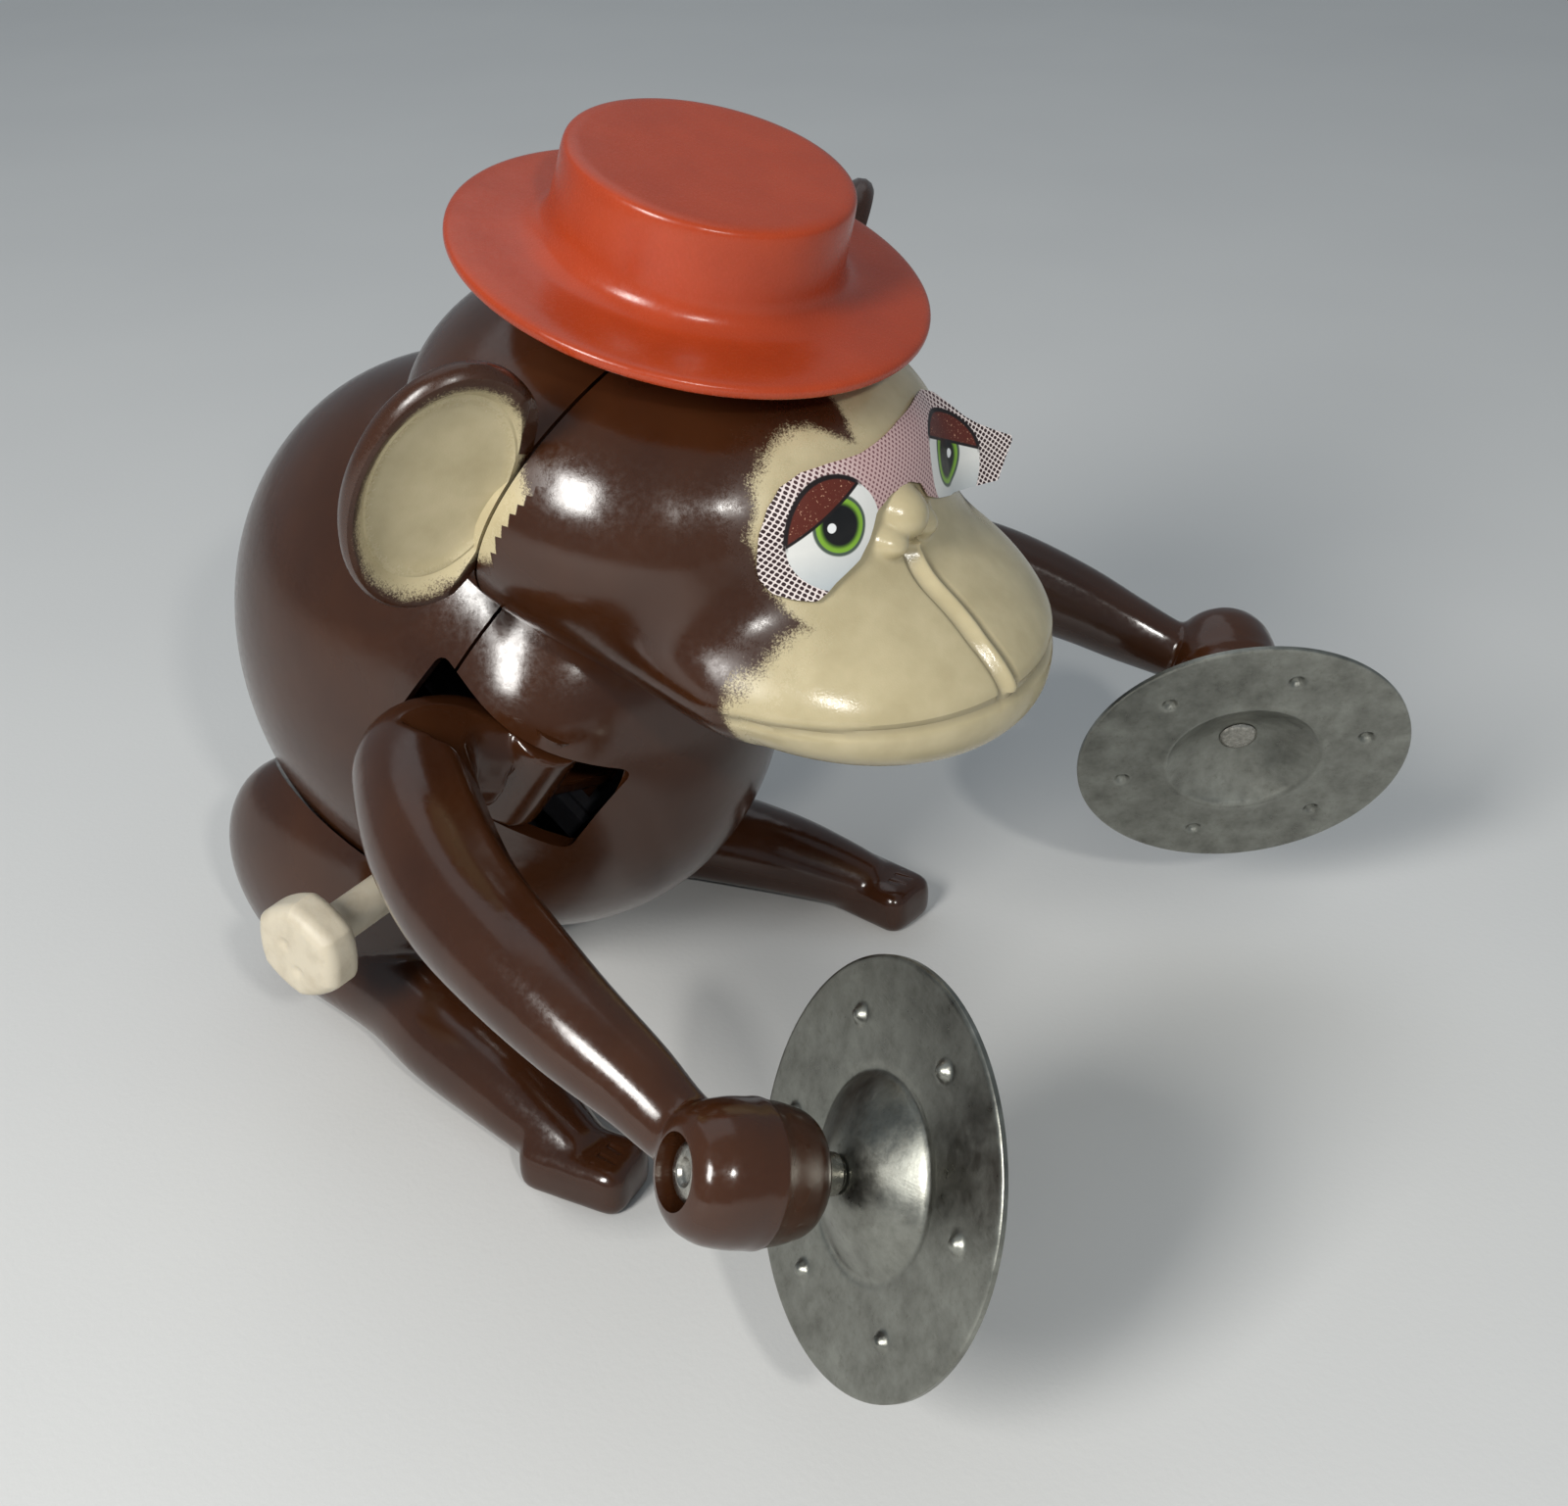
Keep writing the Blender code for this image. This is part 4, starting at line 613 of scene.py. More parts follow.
def paint_attributes(obj):
    """Stores, on each point, how far inside the misted areas it is and how much painted shade it gets in the
    mouth line and in the hollows beside the ridge under the nose.
    """
    mesh = obj.data
    co = np.zeros(len(mesh.vertices) * 3)
    mesh.vertices.foreach_get("co", co)
    p = co.reshape(-1, 3) / MM
    reach = -14.2 + 4.0 * np.clip((p[:, 2] - 49.5) / 3.0, 0, 1)
    mist = np.minimum(outline_distance(p[:, 0], p[:, 2], MIST_OUTLINE), (reach - p[:, 1]) * 0.8)
    for side in (-1, 1):
        inverse = np.array(ear_place(side).inverted())
        q = p @ inverse[:3, :3].T + inverse[:3, 3]
        off = 1 - np.hypot(q[:, 0] / 6.0, q[:, 1] / 9.6)
        on_panel = (q[:, 2] > -0.6) & (side * p[:, 0] > 18.0) & (np.abs(q[:, 2]) < 2)
        ear = np.where(on_panel, off * 6.0, UNMISTED)
        mist = np.maximum(mist, ear)
    # Painted shade: strength of the shade painted along the mouth line and in the hollows on each side of the
    # ridge under the nose.
    lift = p[:, 2] - mouth_height(p)
    painted_groove_shade = np.exp(-((lift / 0.3) ** 2)) * (p[:, 1] < -12.5) * 0.5
    under_nose = (p[:, 2] > 44.6) & (p[:, 2] < 54) & (p[:, 1] < -17)
    beside = np.exp(-(((np.abs(p[:, 0] - ridge_x(p[:, 2])) - 1.05) / 0.28) ** 2)) * under_nose
    painted_groove_shade = np.maximum(painted_groove_shade, beside * 0.55)
    for name, values in (("mist", mist), ("painted_groove_shade", painted_groove_shade)):
        layer = mesh.attributes.new(name, "FLOAT", "POINT")
        layer.data.foreach_set("value", values.astype(np.float32))


def unpainted(obj):
    """Stores the same attributes for a piece that has no paint and no painted shade on it."""
    for name, value in (("mist", UNMISTED), ("painted_groove_shade", 0.0)):
        layer = obj.data.attributes.new(name, "FLOAT", "POINT")
        layer.data.foreach_set("value", np.full(len(obj.data.vertices), value, np.float32))


# --- frames ------------------------------------------------------------------------------------

hinge_frame = Matrix.Rotation(HINGE_LEAN, 4, "X")


def leaning(x, v, w):
    """World place, in metres, of a point in the arms' leaning frame in millimetres."""
    return hinge_frame @ (Vector((x, v, w)) * MM)


joints = {joint["name"]: joint for joint in frame["joints"]}
cymbal_joint = joints["right_cymbal_spin"]
cymbal_centre = Vector(cymbal_joint["pos_m"])
cymbal_axis = Vector(cymbal_joint["axis"]).normalized()
cymbal_place = Matrix.Translation(cymbal_centre) @ cymbal_axis.to_track_quat("Z", "Y").to_matrix().to_4x4()
PEG_RADIUS = 0.0033
STEM_HOLE_RADIUS, STEM_RADIUS, STEM_BORE_RADIUS = 0.0021, 0.0018, 0.00098
HUB_RADIUS, PIVOT_BOSS_RADIUS, PIVOT_HOLE_RADIUS = 0.0032, 0.0023, 0.00088
RIVET_HOLE_RADIUS, RIVET_RECESS_RADIUS, RIVET_SEAT = 0.00158, 0.0026, 0.0029
HUB = (15.5, 25.1)
HUB_LOW, HUB_HIGH = 19.0, 28.4
winding_y, winding_z = joints["winding_turn"]["pos_m"][1:]
SEAM_POINT, SEAM_LEAN = (0, 5.5, 55.0), radians(25.7)
seam_normal = Vector((0, cos(SEAM_LEAN), sin(SEAM_LEAN)))
hat_place = Matrix.Translation((0, 0.0008, 0.0718)) @ Matrix.Rotation(HEAD_TILT, 4, "X")
LOOKS = {}


def on_stem(x):
    """A point on the winding stem's axis."""
    return (x, winding_y, winding_z)


def half_space(name, side, gap):
    low_y, high_y = (0, 0.08) if side > 0 else (-0.08, 0)
    place = Matrix.Translation(Vector(SEAM_POINT) * MM - seam_normal * side * gap / 2)
    place = place @ Matrix.Rotation(SEAM_LEAN, 4, "X")
    return block(name, (-0.08, low_y, -0.08), (0.08, high_y, 0.08), place)


def slot_cutter(side):
    low, high = (11.7, HUB[1] - 6.8, HUB_LOW - 0.4), (27.0, HUB[1] + 10.2, HUB_HIGH + 0.4)
    if side < 0:
        low, high = (-high[0], low[1], low[2]), (-low[0], high[1], high[2])
    return block("slot", Vector(low) * MM, Vector(high) * MM, hinge_frame, 0.9 * MM)


# --- operators ---------------------------------------------------------------------------------


def make_ear(side):
    """Oval ear with a rolled rim, a step inside it and a shallow panel."""
    rings = ((0.0, -0.25), (0.45, -0.25), (0.62, -0.2), (0.70, -0.05), (0.735, 0.12), (0.76, 0.1),
             (0.79, 0.32), (0.85, 0.95), (0.90, 1.12), (0.95, 1.05), (0.985, 0.72), (1.0, 0.2),
             (0.985, -0.45), (0.94, -0.95), (0.85, -1.2), (0.5, -1.35), (0.0, -1.4))
    sides = 96
    points, faces = [], []
    place = ear_place(side)
    for radius, height in rings:
        for i in range(sides):
            a = 2 * pi * i / sides
            narrow = 1 - 0.06 * (1 - sin(a)) * 0.5
            spot = Vector((radius * cos(a) * 7.4 * narrow, radius * sin(a) * 11.2, height))
            points.append(place @ spot * MM)
    for r in range(len(rings) - 1):
        for i in range(sides):
            j = (i + 1) % sides
            faces.append((r * sides + i, r * sides + j, (r + 1) * sides + j, (r + 1) * sides + i))
    return from_arrays("ear", points, faces)


class MONKEY_OT_shells(bpy.types.Operator):
    """Front shell with the face, back shell with the ears"""

    bl_idname = "monkey.shells"
    bl_label = "Shells"

    def execute(self, context):
        settings = context.scene.monkey_body
        wall = settings.shell_wall / MM
        outer = pushed("outer", torso_form, TORSO_MIDDLE, 50, 90, 140)
        head = pushed("head", head_form, HEAD_MIDDLE, 50, 200, 380, 0.70)
        combine(outer, "UNION", head)
        inner = pushed("inner", lambda p: torso_form(p) + wall, TORSO_MIDDLE, 50, 40, 60)
        inner_head = pushed("inner_head", lambda p: plain_head(p) + wall + 0.3, HEAD_MIDDLE, 50, 40, 60)
        combine(inner, "UNION", inner_head)
        combine(outer, "DIFFERENCE", inner)
        peg = cylinder("peg", hat_place @ Vector((0, 0, -0.02)), hat_place @ Vector((0, 0, 0.02)), PEG_RADIUS)
        combine(outer, "DIFFERENCE", peg)
        stem = cylinder("stem", on_stem(-0.030), on_stem(-0.008), STEM_HOLE_RADIUS)
        combine(outer, "DIFFERENCE", stem)
        front, back = outer, copy_of(outer)
        combine(front, "DIFFERENCE", half_space("behind", 1, settings.seam_gap))
        combine(back, "DIFFERENCE", half_space("ahead", -1, settings.seam_gap))
        inside = pushed("inside", lambda p: plain_head(p) + wall / 2, HEAD_MIDDLE, 50, 40, 60)
        for side in (-1, 1):
            ahead = (copy_of(inside), half_space("ahead", -1, settings.seam_gap))
            ear = combine(make_ear(side), "DIFFERENCE", *ahead)
            combine(back, "UNION", ear)
        bpy.data.objects.remove(inside, do_unlink=True)
        halves = (("monkey_front", front, "front_shell"), ("monkey_back", back, "back_shell"))
        for name, half, node_name in halves:
            for side in (-1, 1):
                combine(half, "DIFFERENCE", slot_cutter(side))
                x = side * HUB[0]
                if half is front:
                    for low, high in ((HUB_LOW - 5.0, HUB_LOW - 0.5), (HUB_HIGH + 0.5, HUB_HIGH + 1.6)):
                        ends = leaning(x, HUB[1], low), leaning(x, HUB[1], high)
                        boss = cylinder("boss", *ends, PIVOT_BOSS_RADIUS)
                        combine(half, "UNION", boss)
            half.name = name
            paint_attributes(half)
            finish(half, "toy_body", LOOKS["styrene"], [node_name], 32)
        return {"FINISHED"}


class MONKEY_OT_hat(bpy.types.Operator):
    """Boater hat"""

    bl_idname = "monkey.hat"
    bl_label = "Hat"

    def execute(self, context):
        profile = [(0, 8.85), (6.0, 8.9), (10.3, 8.95), (10.95, 8.75), (11.1, 8.1), (11.2, 6.2), (11.4, 3.2),
                   (11.8, 2.1), (12.9, 1.4), (14.5, 1.25), (17.3, 1.22), (18.7, 1.05), (18.75, 0.3),
                   (18.4, 0.0), (16.0, 0.0), (10.2, 0.0), (9.8, 7.6), (3.0, 7.6), (3.0, -4.6),
                   (2.5, -5.0), (0, -5.0)]
        corners = rounded([(r * MM, h * MM) for r, h in profile], 0.6 * MM)
        hat = lathe("hat_boater", corners, hat_place, 160)
        finish(hat, "toy_body", LOOKS["polypropylene"], ["hat"], 50)
        return {"FINISHED"}


LABEL_TOP = ((-14.0, 56.4), (-13.6, 58.6), (-12.5, 60.4), (-11.1, 61.6), (-9.3, 62.2), (-7.1, 62.3),
             (-4.0, 62.2), (-0.8, 62.5), (1.8, 62.8), (4.0, 62.9), (6.1, 63.0), (8.0, 62.9), (9.2, 62.4),
             (10.2, 61.2), (11.0, 60.2), (12.0, 59.4), (13.5, 58.5), (14.8, 57.8))
LABEL_BOTTOM = ((-14.0, 55.6), (-13.6, 54.5), (-12.5, 53.8), (-11.2, 53.4), (-10.2, 53.8), (-9.3, 54.3),
                (-6.9, 55.3), (-5.6, 56.4), (-5.0, 57.2), (-4.4, 58.2), (-2.5, 58.9), (0, 59.0),
                (1.6, 58.3), (2.4, 57.0), (4.1, 56.2), (6.9, 55.3), (9.0, 54.9), (11.0, 54.7),
                (12.9, 54.6), (13.6, 55.6), (14.8, 57.4))
LABEL_THICKNESS = 0.09


class MONKEY_OT_eyes(bpy.types.Operator):
    """Printed eye label, lifting off the face at its left end"""

    bl_idname = "monkey.eyes"
    bl_label = "Eye label"

    def execute(self, context):
        top = np.array(LABEL_TOP)
        bottom = np.array(LABEL_BOTTOM)
        columns, rows = 110, 16
        xs = np.linspace(-14.0, 14.8, columns)
        high = np.interp(xs, top[:, 0], top[:, 1])
        low = np.interp(xs, bottom[:, 0], bottom[:, 1])
        points = []
        for x, a, b in zip(xs, low, high):
            for j in range(rows):
                points.append((x, 0.0, a + (b - a) * j / (rows - 1)))
        p = np.array(points)
        near, far = np.full(len(p), -25.0), np.full(len(p), 0.0)
        for _ in range(HALVINGS):
            middle = (near + far) / 2
            inside = plain_head(np.stack([p[:, 0], middle, p[:, 2]], 1)) < 0.30
            far, near = np.where(inside, middle, far), np.where(inside, near, middle)
        p[:, 1] = near
        curl = np.clip((p[:, 0] - 7.6) / 7.2, 0, 1)
        p[:, 1] -= 6.4 * curl**1.6
        faces = [(i * rows + j, (i + 1) * rows + j, (i + 1) * rows + j + 1, i * rows + j + 1)
                 for i in range(columns - 1) for j in range(rows - 1)]
        mesh = bpy.data.meshes.new("eye_sticker")
        mesh.from_pydata([tuple(q * MM) for q in p], [], faces)
        label = bpy.data.objects.new("eye_sticker", mesh)
        context.scene.collection.objects.link(label)
        sheet = label.modifiers.new("film", "SOLIDIFY")
        sheet.thickness = LABEL_THICKNESS * MM
        sheet.offset = 1
        settle(label)
        finish(label, "toy_body", LOOKS["vinyl"], ["eye_label"], 60)
        return {"FINISHED"}


# Rows of (x, y, z, radius) in the arms' leaning frame, from the hub to the fist.
ARM_ROUTE = ((17.5, 27.4, 23.7, 4.2), (20.8, 29.7, 23.9, 4.5), (24.4, 30.0, 24.6, 4.7),
             (27.6, 27.4, 26.0, 4.9), (31.4, 22.8, 27.9, 5.0), (34.6, 17.6, 30.0, 4.8),
             (37.0, 11.6, 32.6, 4.4), (38.6, 5.2, 34.8, 3.8), (39.4, -0.5, 36.5, 3.2),
             (40.3, -5.2, 37.9, 2.7))
FIST_OFFSET, FIST_RADIUS = 10.5, 5.3


def smooth_route(points, count):
    """Catmull-Rom curve through the points, evenly sampled."""
    p = np.vstack([2 * points[0] - points[1], points, 2 * points[-1] - points[-2]])
    dense = []
    for i in range(1, len(p) - 2):
        for t in np.linspace(0, 1, 24, endpoint=False):
            a, b, c, d = p[i - 1], p[i], p[i + 1], p[i + 2]
            square, cube = (2 * a - 5 * b + 4 * c - d) * t**2, (3 * b - a - 3 * c + d) * t**3
            dense.append(0.5 * (2 * b + (c - a) * t + square + cube))
    dense.append(points[-1])
    dense = np.array(dense)
    length = np.concatenate([[0], np.cumsum(np.linalg.norm(np.diff(dense[:, :3], axis=0), axis=1))])
    want = np.linspace(0, length[-1], count)
    return np.stack([np.interp(want, length, dense[:, k]) for k in range(dense.shape[1])], 1)


def loft(name, route, sides, section):
    """A tube along a route of (x, y, z, radius) rows; section(angle, t) scales the radius."""
    centre, radius = route[:, :3], route[:, 3]
    tangent = np.gradient(centre, axis=0)
    tangent /= np.linalg.norm(tangent, axis=1)[:, None]
    up = np.array([0, 0, 1.0])
    points, faces = [], []
    for i, (c, t, r) in enumerate(zip(centre, tangent, radius)):
        side = np.cross(t, up)
        side /= np.linalg.norm(side)
        over = np.cross(side, t)
        for j in range(sides):
            a = 2 * pi * j / sides
            k = r * section(a, i / (len(centre) - 1))
            points.append((c + side * cos(a) * k + over * sin(a) * k) * MM)
    count = len(centre)
    for i in range(count - 1):
        for j in range(sides):
            m = (j + 1) % sides
            faces.append((i * sides + j, i * sides + m, (i + 1) * sides + m, (i + 1) * sides + j))
    faces.append(tuple(range(sides))[::-1])
    faces.append(tuple((count - 1) * sides + j for j in range(sides)))
    return from_arrays(name, points, faces)


def arm_section(angle, along):
    """A round section with a soft corner on its inner side, where the two halves of the mould met."""
    corner = 0.10 * np.exp(-(((angle - 2.15) / 0.20) ** 2)) - 0.05 * np.exp(-(((angle - 2.95) / 0.55) ** 2))
    return 1.0 + corner * np.clip(1.4 - along, 0, 1)


class MONKEY_OT_arms(bpy.types.Operator):
    """Both arms with their hubs, inner tails and fists"""

    bl_idname = "monkey.arms"
    bl_label = "Arms"

    def execute(self, context):
        route = []
        for x, v, w, radius in ARM_ROUTE:
            place = leaning(-x, v, w) / MM
            route.append((*place, radius))
        fist = cymbal_centre / MM - cymbal_axis * FIST_OFFSET
        route.append((*fist, 2.6))
        route = smooth_route(np.array(route), 110)
        arm = loft("arm_right", route, 72, arm_section)
        profile = [(0, -5.3), (2.9, -5.3), (3.9, -4.7), (4.7, -3.2), (5.0, -1.4), (5.0, 0.3), (5.12, 0.45),
                   (5.12, 0.65), (4.9, 0.8), (4.75, 2.2), (4.3, 3.9), (3.6, 4.7), (0, 4.7)]
        shift = Matrix.Translation((0, 0, -FIST_OFFSET * MM))
        corners = rounded([(r * MM, h * MM) for r, h in profile], 0.5 * MM)
        hand = lathe("hand", corners, cymbal_place @ shift, 96)
        ends = leaning(-HUB[0], HUB[1], HUB_LOW), leaning(-HUB[0], HUB[1], HUB_HIGH)
        hub = cylinder("hub", *ends, HUB_RADIUS, 64)
        turn = Matrix.Translation(Vector((-HUB[0], HUB[1], 0)) * MM) @ Matrix.Rotation(-radians(19.6), 4, "Z")
        tail = block("tail", (0, -0.0013, 0.0192), (0.0102, 0.0013, 0.0214), hinge_frame @ turn, 0.0003)
        combine(arm, "UNION", hand, hub, tail)
        cap = Matrix.Translation(leaning(0, 0, HUB_HIGH)) @ hinge_frame
        combine(arm, "DIFFERENCE", block("cap", (-0.026, 0.0, 0), (-0.008, 0.05, 0.02), cap))
        soften(arm, 0.28, 6)
        ends = leaning(-HUB[0], HUB[1], HUB_LOW - 1), leaning(-HUB[0], HUB[1], HUB_HIGH + 1)
        pin = cylinder("pin", *ends, PIVOT_HOLE_RADIUS)
        centre = Vector(fist) * MM
        shank = cylinder("shank", centre - cymbal_axis * 0.01, centre + cymbal_axis * 0.01, RIVET_HOLE_RADIUS)
        seat = centre - cymbal_axis * RIVET_SEAT
        recess = cylinder("recess", seat - cymbal_axis * 0.01, seat, RIVET_RECESS_RADIUS)
        combine(arm, "DIFFERENCE", pin, shank, recess)
        pointer = cylinder("tail_pin", hinge_frame @ turn @ Vector((0.009, 0, 0.0168)),
                           hinge_frame @ turn @ Vector((0.009, 0, 0.0202)), 0.0009, 32)
        combine(arm, "UNION", pointer)
        other = mirrored(arm, "arm_left")
        for obj, body, node_name in ((arm, "arm_right", "right_arm"), (other, "arm_left", "left_arm")):
            unpainted(obj)
            finish(obj, body, LOOKS["styrene"], [node_name], 42)
        return {"FINISHED"}


DIMPLES, DIMPLE_REACH, DIMPLE_DEPTH, DIMPLE_RADIUS = 6, 0.735, 0.60, 0.62


class MONKEY_OT_cymbals(bpy.types.Operator):
    """Both cymbals, pressed with a dished centre and six dimples, and their rivets"""

    bl_idname = "monkey.cymbals"
    bl_label = "Cymbals and rivets"

    def execute(self, context):
        settings = context.scene.monkey_cymbals
        sizes = (settings.radius, settings.dome_radius, settings.dome_rise, settings.thickness)
        radius, dome, rise, sheet = (v / MM for v in sizes)
        hole = 1.2
        radii = np.concatenate([np.linspace(hole, dome + 1.2, 30), np.linspace(dome + 1.5, radius - 0.25, 34),
                                [radius - 0.1, radius]])
        sides = 288
        turn = np.arange(sides) * 2 * pi / sides

        def height(r, a):
            t = np.clip((r - dome * 0.18) / (dome - dome * 0.18), 0, 1)
            h = -rise * (1 - t**1.5)
            h = h + 0.10 * np.exp(-(((r - dome - 0.2) / 0.3) ** 2))
            for k in range(DIMPLES):
                b = radians(45) + k * 2 * pi / DIMPLES
                out = DIMPLE_REACH * radius
                away = np.hypot(r * np.cos(a) - out * cos(b), r * np.sin(a) - out * sin(b))
                h = h - DIMPLE_DEPTH * np.exp(-((away / DIMPLE_RADIUS) ** 4))
            return h + 0.05 * np.sin(2 * a + 0.6) * (r / radius) ** 2

        points, faces = [], []
        for lower in (False, True):
            for i, r in enumerate(radii):
                edge = 0.12 if i == len(radii) - 1 else (0.03 if i == len(radii) - 2 else 0.0)
                z = height(np.full(sides, r), turn) - (sheet - edge if lower else edge)
                points += [(r * cos(a), r * sin(a), h) for a, h in zip(turn, z)]
        count = len(radii)
        for layer in (0, 1):
            base = layer * count * sides
            for i in range(count - 1):
                for j in range(sides):
                    m = (j + 1) % sides
                    a, b = base + i * sides, base + (i + 1) * sides
                    faces.append((a + j, b + j, b + m, a + m))
        for i in (0, count - 1):
            for j in range(sides):
                m = (j + 1) % sides
                a, b = i * sides, (count + i) * sides
                faces.append((a + j, a + m, b + m, b + j))
        disc = from_arrays("cymbal_right", [cymbal_place @ (Vector(q) * MM) for q in points], faces)
        other = mirrored(disc, "cymbal_left")
        finish(disc, "cymbal_right", LOOKS["sheet"], ["right_cymbal"], 40)
        finish(other, "cymbal_left", LOOKS["sheet"], ["left_cymbal"], 40)
        neck, shaft, head = 1.1, 1.5, 2.3
        seat = -FIST_OFFSET - FIST_RADIUS + 2.4
        face = -rise
        profile = [(0, face + 0.42), (neck + 0.3, face + 0.4), (neck + 0.7, face + 0.1),
                   (neck, face + 0.1), (neck, face - sheet - 0.2), (shaft, face - sheet - 0.2),
                   (shaft, seat - 0.3), (head, seat - 0.3), (head, seat - 0.9),
                   (head - 0.5, seat - 1.5), (1.0, seat - 1.65), (0.7, seat - 1.3), (0, seat - 1.2)]
        corners = rounded([(r * MM, h * MM) for r, h in profile], 0.15 * MM, 3)
        rivet = lathe("rivet_right", corners, cymbal_place, 64)
        other = mirrored(rivet, "rivet_left")
        finish(rivet, "arm_right", LOOKS["steel"], ["right_cymbal_rivet"], 40)
        finish(other, "arm_left", LOOKS["steel"], ["left_cymbal_rivet"], 40)
        return {"FINISHED"}


TOE_SPACING, TOE_GROOVE_RADIUS = 0.0013, 0.0004


class MONKEY_OT_legs(bpy.types.Operator):
    """Both legs, each a haunch, shin and foot in one moulding"""

    bl_idname = "monkey.legs"
    bl_label = "Legs"

    def execute(self, context):
        thigh = pushed("leg_right", lambda p: ellipsoid(p, (-13.4, 32.2, 12.4), (6.6, 14.0, 12.4)),
                       (-13.4, 32.2, 12.4), 20, 60, 90)
        route = np.array([(-14.8, 33.0, 5.0, 5.2), (-17.0, 23.0, 5.0, 4.8), (-19.6, 15.0, 5.0, 4.8),
                          (-21.6, 7.0, 4.4, 4.2), (-23.0, 1.0, 3.4, 3.4), (-23.8, -3.0, 2.6, 2.7)])
        shin = loft("shin", smooth_route(route, 60), 48, lambda a, t: 1.0)
        foot = pushed("foot", lambda p: rounded_box(p, (-24.0, -2.8, 2.0), (3.2, 5.1, 2.4), 1.5, radians(7)),
                      (-24.0, -2.8, 2.0), 12, 60, 90)
        combine(thigh, "UNION", shin, foot)
        soften(thigh, 0.38, 12)
        for k in (-1, 0, 1):
            across = k * TOE_SPACING
            toe = cylinder("toe", (-0.0250 + across, -0.010, 0.0047), (-0.0244 + across, -0.0048, 0.0047),
                           TOE_GROOVE_RADIUS, 16)
            combine(thigh, "DIFFERENCE", toe)
        body = pushed("clearance", lambda p: torso_form(p) - 0.3, TORSO_MIDDLE, 50, 60, 90)
        ground = block("ground", (-0.06, -0.05, -0.03), (0.06, 0.06, 0), Matrix.Identity(4))
        combine(thigh, "DIFFERENCE", body, ground)
        other = mirrored(thigh, "leg_left")
        stem = cylinder("stem", on_stem(-0.024), on_stem(-0.008), STEM_HOLE_RADIUS)
        combine(thigh, "DIFFERENCE", stem)
        for obj, node_name in ((thigh, "right_leg"), (other, "left_leg")):
            unpainted(obj)
            finish(obj, "toy_body", LOOKS["styrene"], [node_name], 42)
        return {"FINISHED"}


class MONKEY_OT_knob(bpy.types.Operator):
    """Winding knob with its stem"""

    bl_idname = "monkey.knob"
    bl_label = "Winding knob"

    def execute(self, context):
        centre = np.array((-28.0, winding_y / MM, winding_z / MM))

        def knob_form(p):
            q = p - centre
            a = np.arctan2(q[:, 2], q[:, 1])
            away = np.hypot(q[:, 1], q[:, 2])
            flat = np.cos((a + pi / 6) % (pi / 3) - pi / 6) * away
            side = (flat + away) / 2 - 4.35
            end = np.abs(q[:, 0]) - 2.0
            corner = 1.3
            d = np.stack([side + corner, end + corner], 1)
            d = np.linalg.norm(np.maximum(d, 0), axis=1) + np.minimum(d.max(axis=1), 0) - corner
            for pit in ((-2.0, 0.9, 0.9), (-2.0, -0.3, -1.6)):
                hit = np.linalg.norm(q - np.array(pit), axis=1)
                d = d + 0.35 * np.exp(-((hit / 0.45) ** 2))
            return d

        knob = pushed("knob_right", knob_form, centre, 8, 90, 120)
        stem = cylinder("stem", on_stem(-0.0280), on_stem(-0.0072), STEM_RADIUS)
        combine(knob, "UNION", stem)
        bore = cylinder("bore", on_stem(-0.0287), on_stem(0.001), STEM_BORE_RADIUS)
        combine(knob, "DIFFERENCE", bore)
        finish(knob, "winding", LOOKS["nylon"], ["winding_knob"], 40)
        return {"FINISHED"}


class MONKEY_OT_motor(bpy.types.Operator):
    """Materials for the motor, slide, pins and screws inside"""

    bl_idname = "monkey.motor"
    bl_label = "Motor and fasteners"

    def execute(self, context):
        kinds = {
            "acetal": ("drive_wheel", "second_wheel", "crank_wheel", "escape_wheel"),
            "black": ("clapper_slide", "crank_disc", "pallet_lever", "motor_case", "motor_cover",
                      "slide_tray"),
            "spring": ("mainspring",),
            "steel": ("winding_shaft", "crank_arbor", "second_arbor", "escape_arbor", "pallet_arbor",
                      "upper_shell_screw", "left_shell_screw", "right_shell_screw", "right_pivot_pin",
                      "left_pivot_pin"),
        }
        for look, names in kinds.items():
            for name in names:
                obj = frame["nodes"][name]
                for slot in obj.material_slots:
                    slot.material = LOOKS[look]
        return {"FINISHED"}


def area_light(name, place, target, size, power, colour):
    data = bpy.data.lights.new(name, "AREA")
    data.shape = "RECTANGLE"
    data.size, data.size_y = size
    data.energy = power
    data.color = linear(colour)[:3]
    made = bpy.data.objects.new(name, data)
    made.location = place
    made.rotation_euler = (Vector(target) - Vector(place)).to_track_quat("-Z", "Y").to_euler()
    bpy.context.scene.collection.objects.link(made)


FLOOR_CELLS, FLOOR_STEP, FLOOR_HALF = 20, 0.12, 1.2
CAMERA_PLACE = (-0.12469, -0.08855, 0.12082)
CAMERA_BACK = (-0.71921, -0.46751, 0.51397)
CAMERA_RIGHT = (0.545, -0.839, 0)
CAMERA_ROLL = radians(-0.3)
LENS_MM, SENSOR_MM = 47.31, 36.0


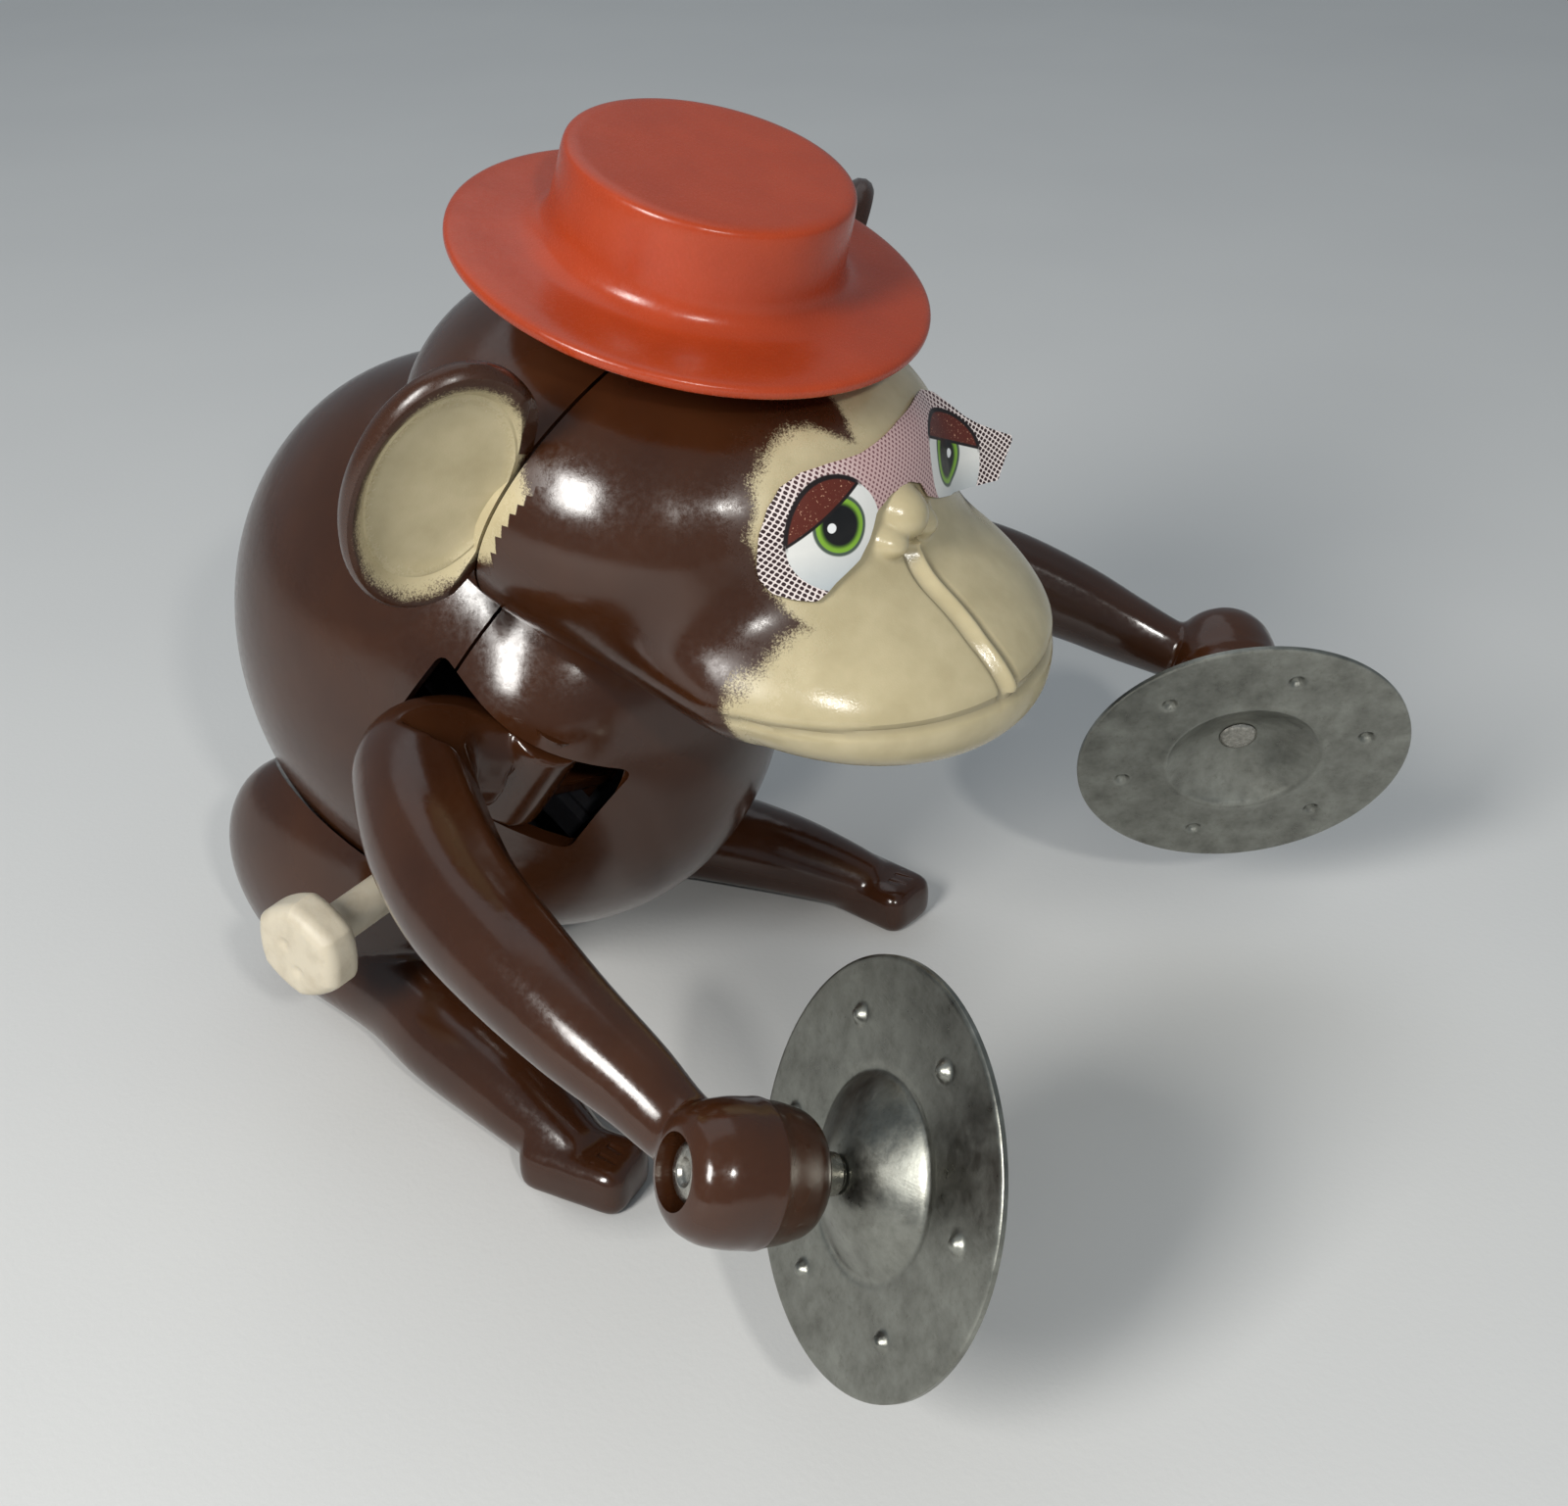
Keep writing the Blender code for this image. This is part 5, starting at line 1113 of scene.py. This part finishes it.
class MONKEY_OT_stage(bpy.types.Operator):
    """Paper floor, lights and camera"""

    bl_idname = "monkey.stage"
    bl_label = "Stage"

    def execute(self, context):
        scene = context.scene
        points, faces = [], []
        row = FLOOR_CELLS + 1
        for i in range(row):
            for j in range(row):
                points.append((-FLOOR_HALF + i * FLOOR_STEP, -FLOOR_HALF + j * FLOOR_STEP, 0.0))
        for i in range(FLOOR_CELLS):
            for j in range(FLOOR_CELLS):
                a = i * row + j
                faces.append((a, a + row, a + row + 1, a + 1))
        mesh = bpy.data.meshes.new("paper_floor")
        mesh.from_pydata(points, [], faces)
        floor = bpy.data.objects.new("paper_floor", mesh)
        scene.collection.objects.link(floor)
        mesh.materials.append(LOOKS["paper"])
        world = bpy.data.worlds.new("soft_room")
        world.use_nodes = True
        background = world.node_tree.nodes["Background"]
        background.inputs["Color"].default_value = linear("bcc6ce")
        background.inputs["Strength"].default_value = 0.45
        scene.world = world
        area_light("window", (-0.40, 0.00, 0.30), (0, 0, 0.04), (0.12, 0.16), 1.9, "fdfbf7")
        area_light("ceiling", (0.15, 0.25, 0.60), (0, 0, 0.03), (0.60, 0.60), 0.6, "eef3f8")
        area_light("lamp", (-0.21, -0.26, 0.26), (0, -0.01, 0.04), (0.022, 0.022), 0.40, "fffdf8")
        camera = bpy.data.objects.new("camera", bpy.data.cameras.new("camera"))
        scene.collection.objects.link(camera)
        back = Vector(CAMERA_BACK).normalized()
        right = Vector(CAMERA_RIGHT)
        right = (right - back * right.dot(back)).normalized()
        up = back.cross(right)
        c, s = cos(CAMERA_ROLL), sin(CAMERA_ROLL)
        right, up = right * c + up * s, up * c - right * s
        place = Matrix((right, up, back)).transposed().to_4x4()
        place.translation = Vector(CAMERA_PLACE)
        camera.matrix_world = place
        camera.data.lens = LENS_MM
        camera.data.sensor_width = SENSOR_MM
        camera.data.clip_start = 0.005
        scene.camera = camera
        scene.view_settings.view_transform = "Standard"
        return {"FINISHED"}


class MONKEY_PT_panel(bpy.types.Panel):
    bl_idname = "MONKEY_PT_panel"
    bl_label = "Wind-up Monkey"
    bl_space_type = "VIEW_3D"
    bl_region_type = "UI"
    bl_category = "Monkey"

    def draw(self, context):
        for kind in STEPS:
            self.layout.operator(kind.bl_idname)
        for group in (context.scene.monkey_body, context.scene.monkey_cymbals):
            for key in group.__annotations__:
                self.layout.prop(group, key)


GROUPS = (MonkeyBody, MonkeyCymbals)
STEPS = (MONKEY_OT_shells, MONKEY_OT_hat, MONKEY_OT_eyes, MONKEY_OT_arms, MONKEY_OT_cymbals, MONKEY_OT_legs,
         MONKEY_OT_knob, MONKEY_OT_motor, MONKEY_OT_stage)


def register():
    for kind in (*GROUPS, *STEPS, MONKEY_PT_panel):
        bpy.utils.register_class(kind)
    bpy.types.Scene.monkey_body = PointerProperty(type=MonkeyBody)
    bpy.types.Scene.monkey_cymbals = PointerProperty(type=MonkeyCymbals)


def unregister():
    del bpy.types.Scene.monkey_cymbals
    del bpy.types.Scene.monkey_body
    for kind in (MONKEY_PT_panel, *STEPS[::-1], *GROUPS[::-1]):
        bpy.utils.unregister_class(kind)


def main():
    register()
    LOOKS.update(
        styrene=moulded_styrene(("3d2110", "331a0c"), ("c0b390", "b2a582")),
        polypropylene=moulded_polypropylene(("ab3f1c", "9f3919")),
        vinyl=printed_vinyl(),
        sheet=plated_sheet(),
        steel=drawn_steel("bright_drawn_steel", "b9b6ae", "8d8a82", 0.22),
        spring=drawn_steel("blued_strip_steel", "4a5260", "343a46", 0.28),
        nylon=moulded_nylon("moulded_nylon", "cdc3ae", "b9ad97", 0.38),
        acetal=moulded_nylon("moulded_acetal", "e4e0d4", "cfc9b9", 0.32),
        black=moulded_nylon("moulded_black_abs", "232327", "2d2d31", 0.40),
        paper=paper_sweep(),
    )
    for kind in STEPS:
        group, name = kind.bl_idname.split(".")
        getattr(getattr(bpy.ops, group), name)()


if __name__ == "__main__":
    main()
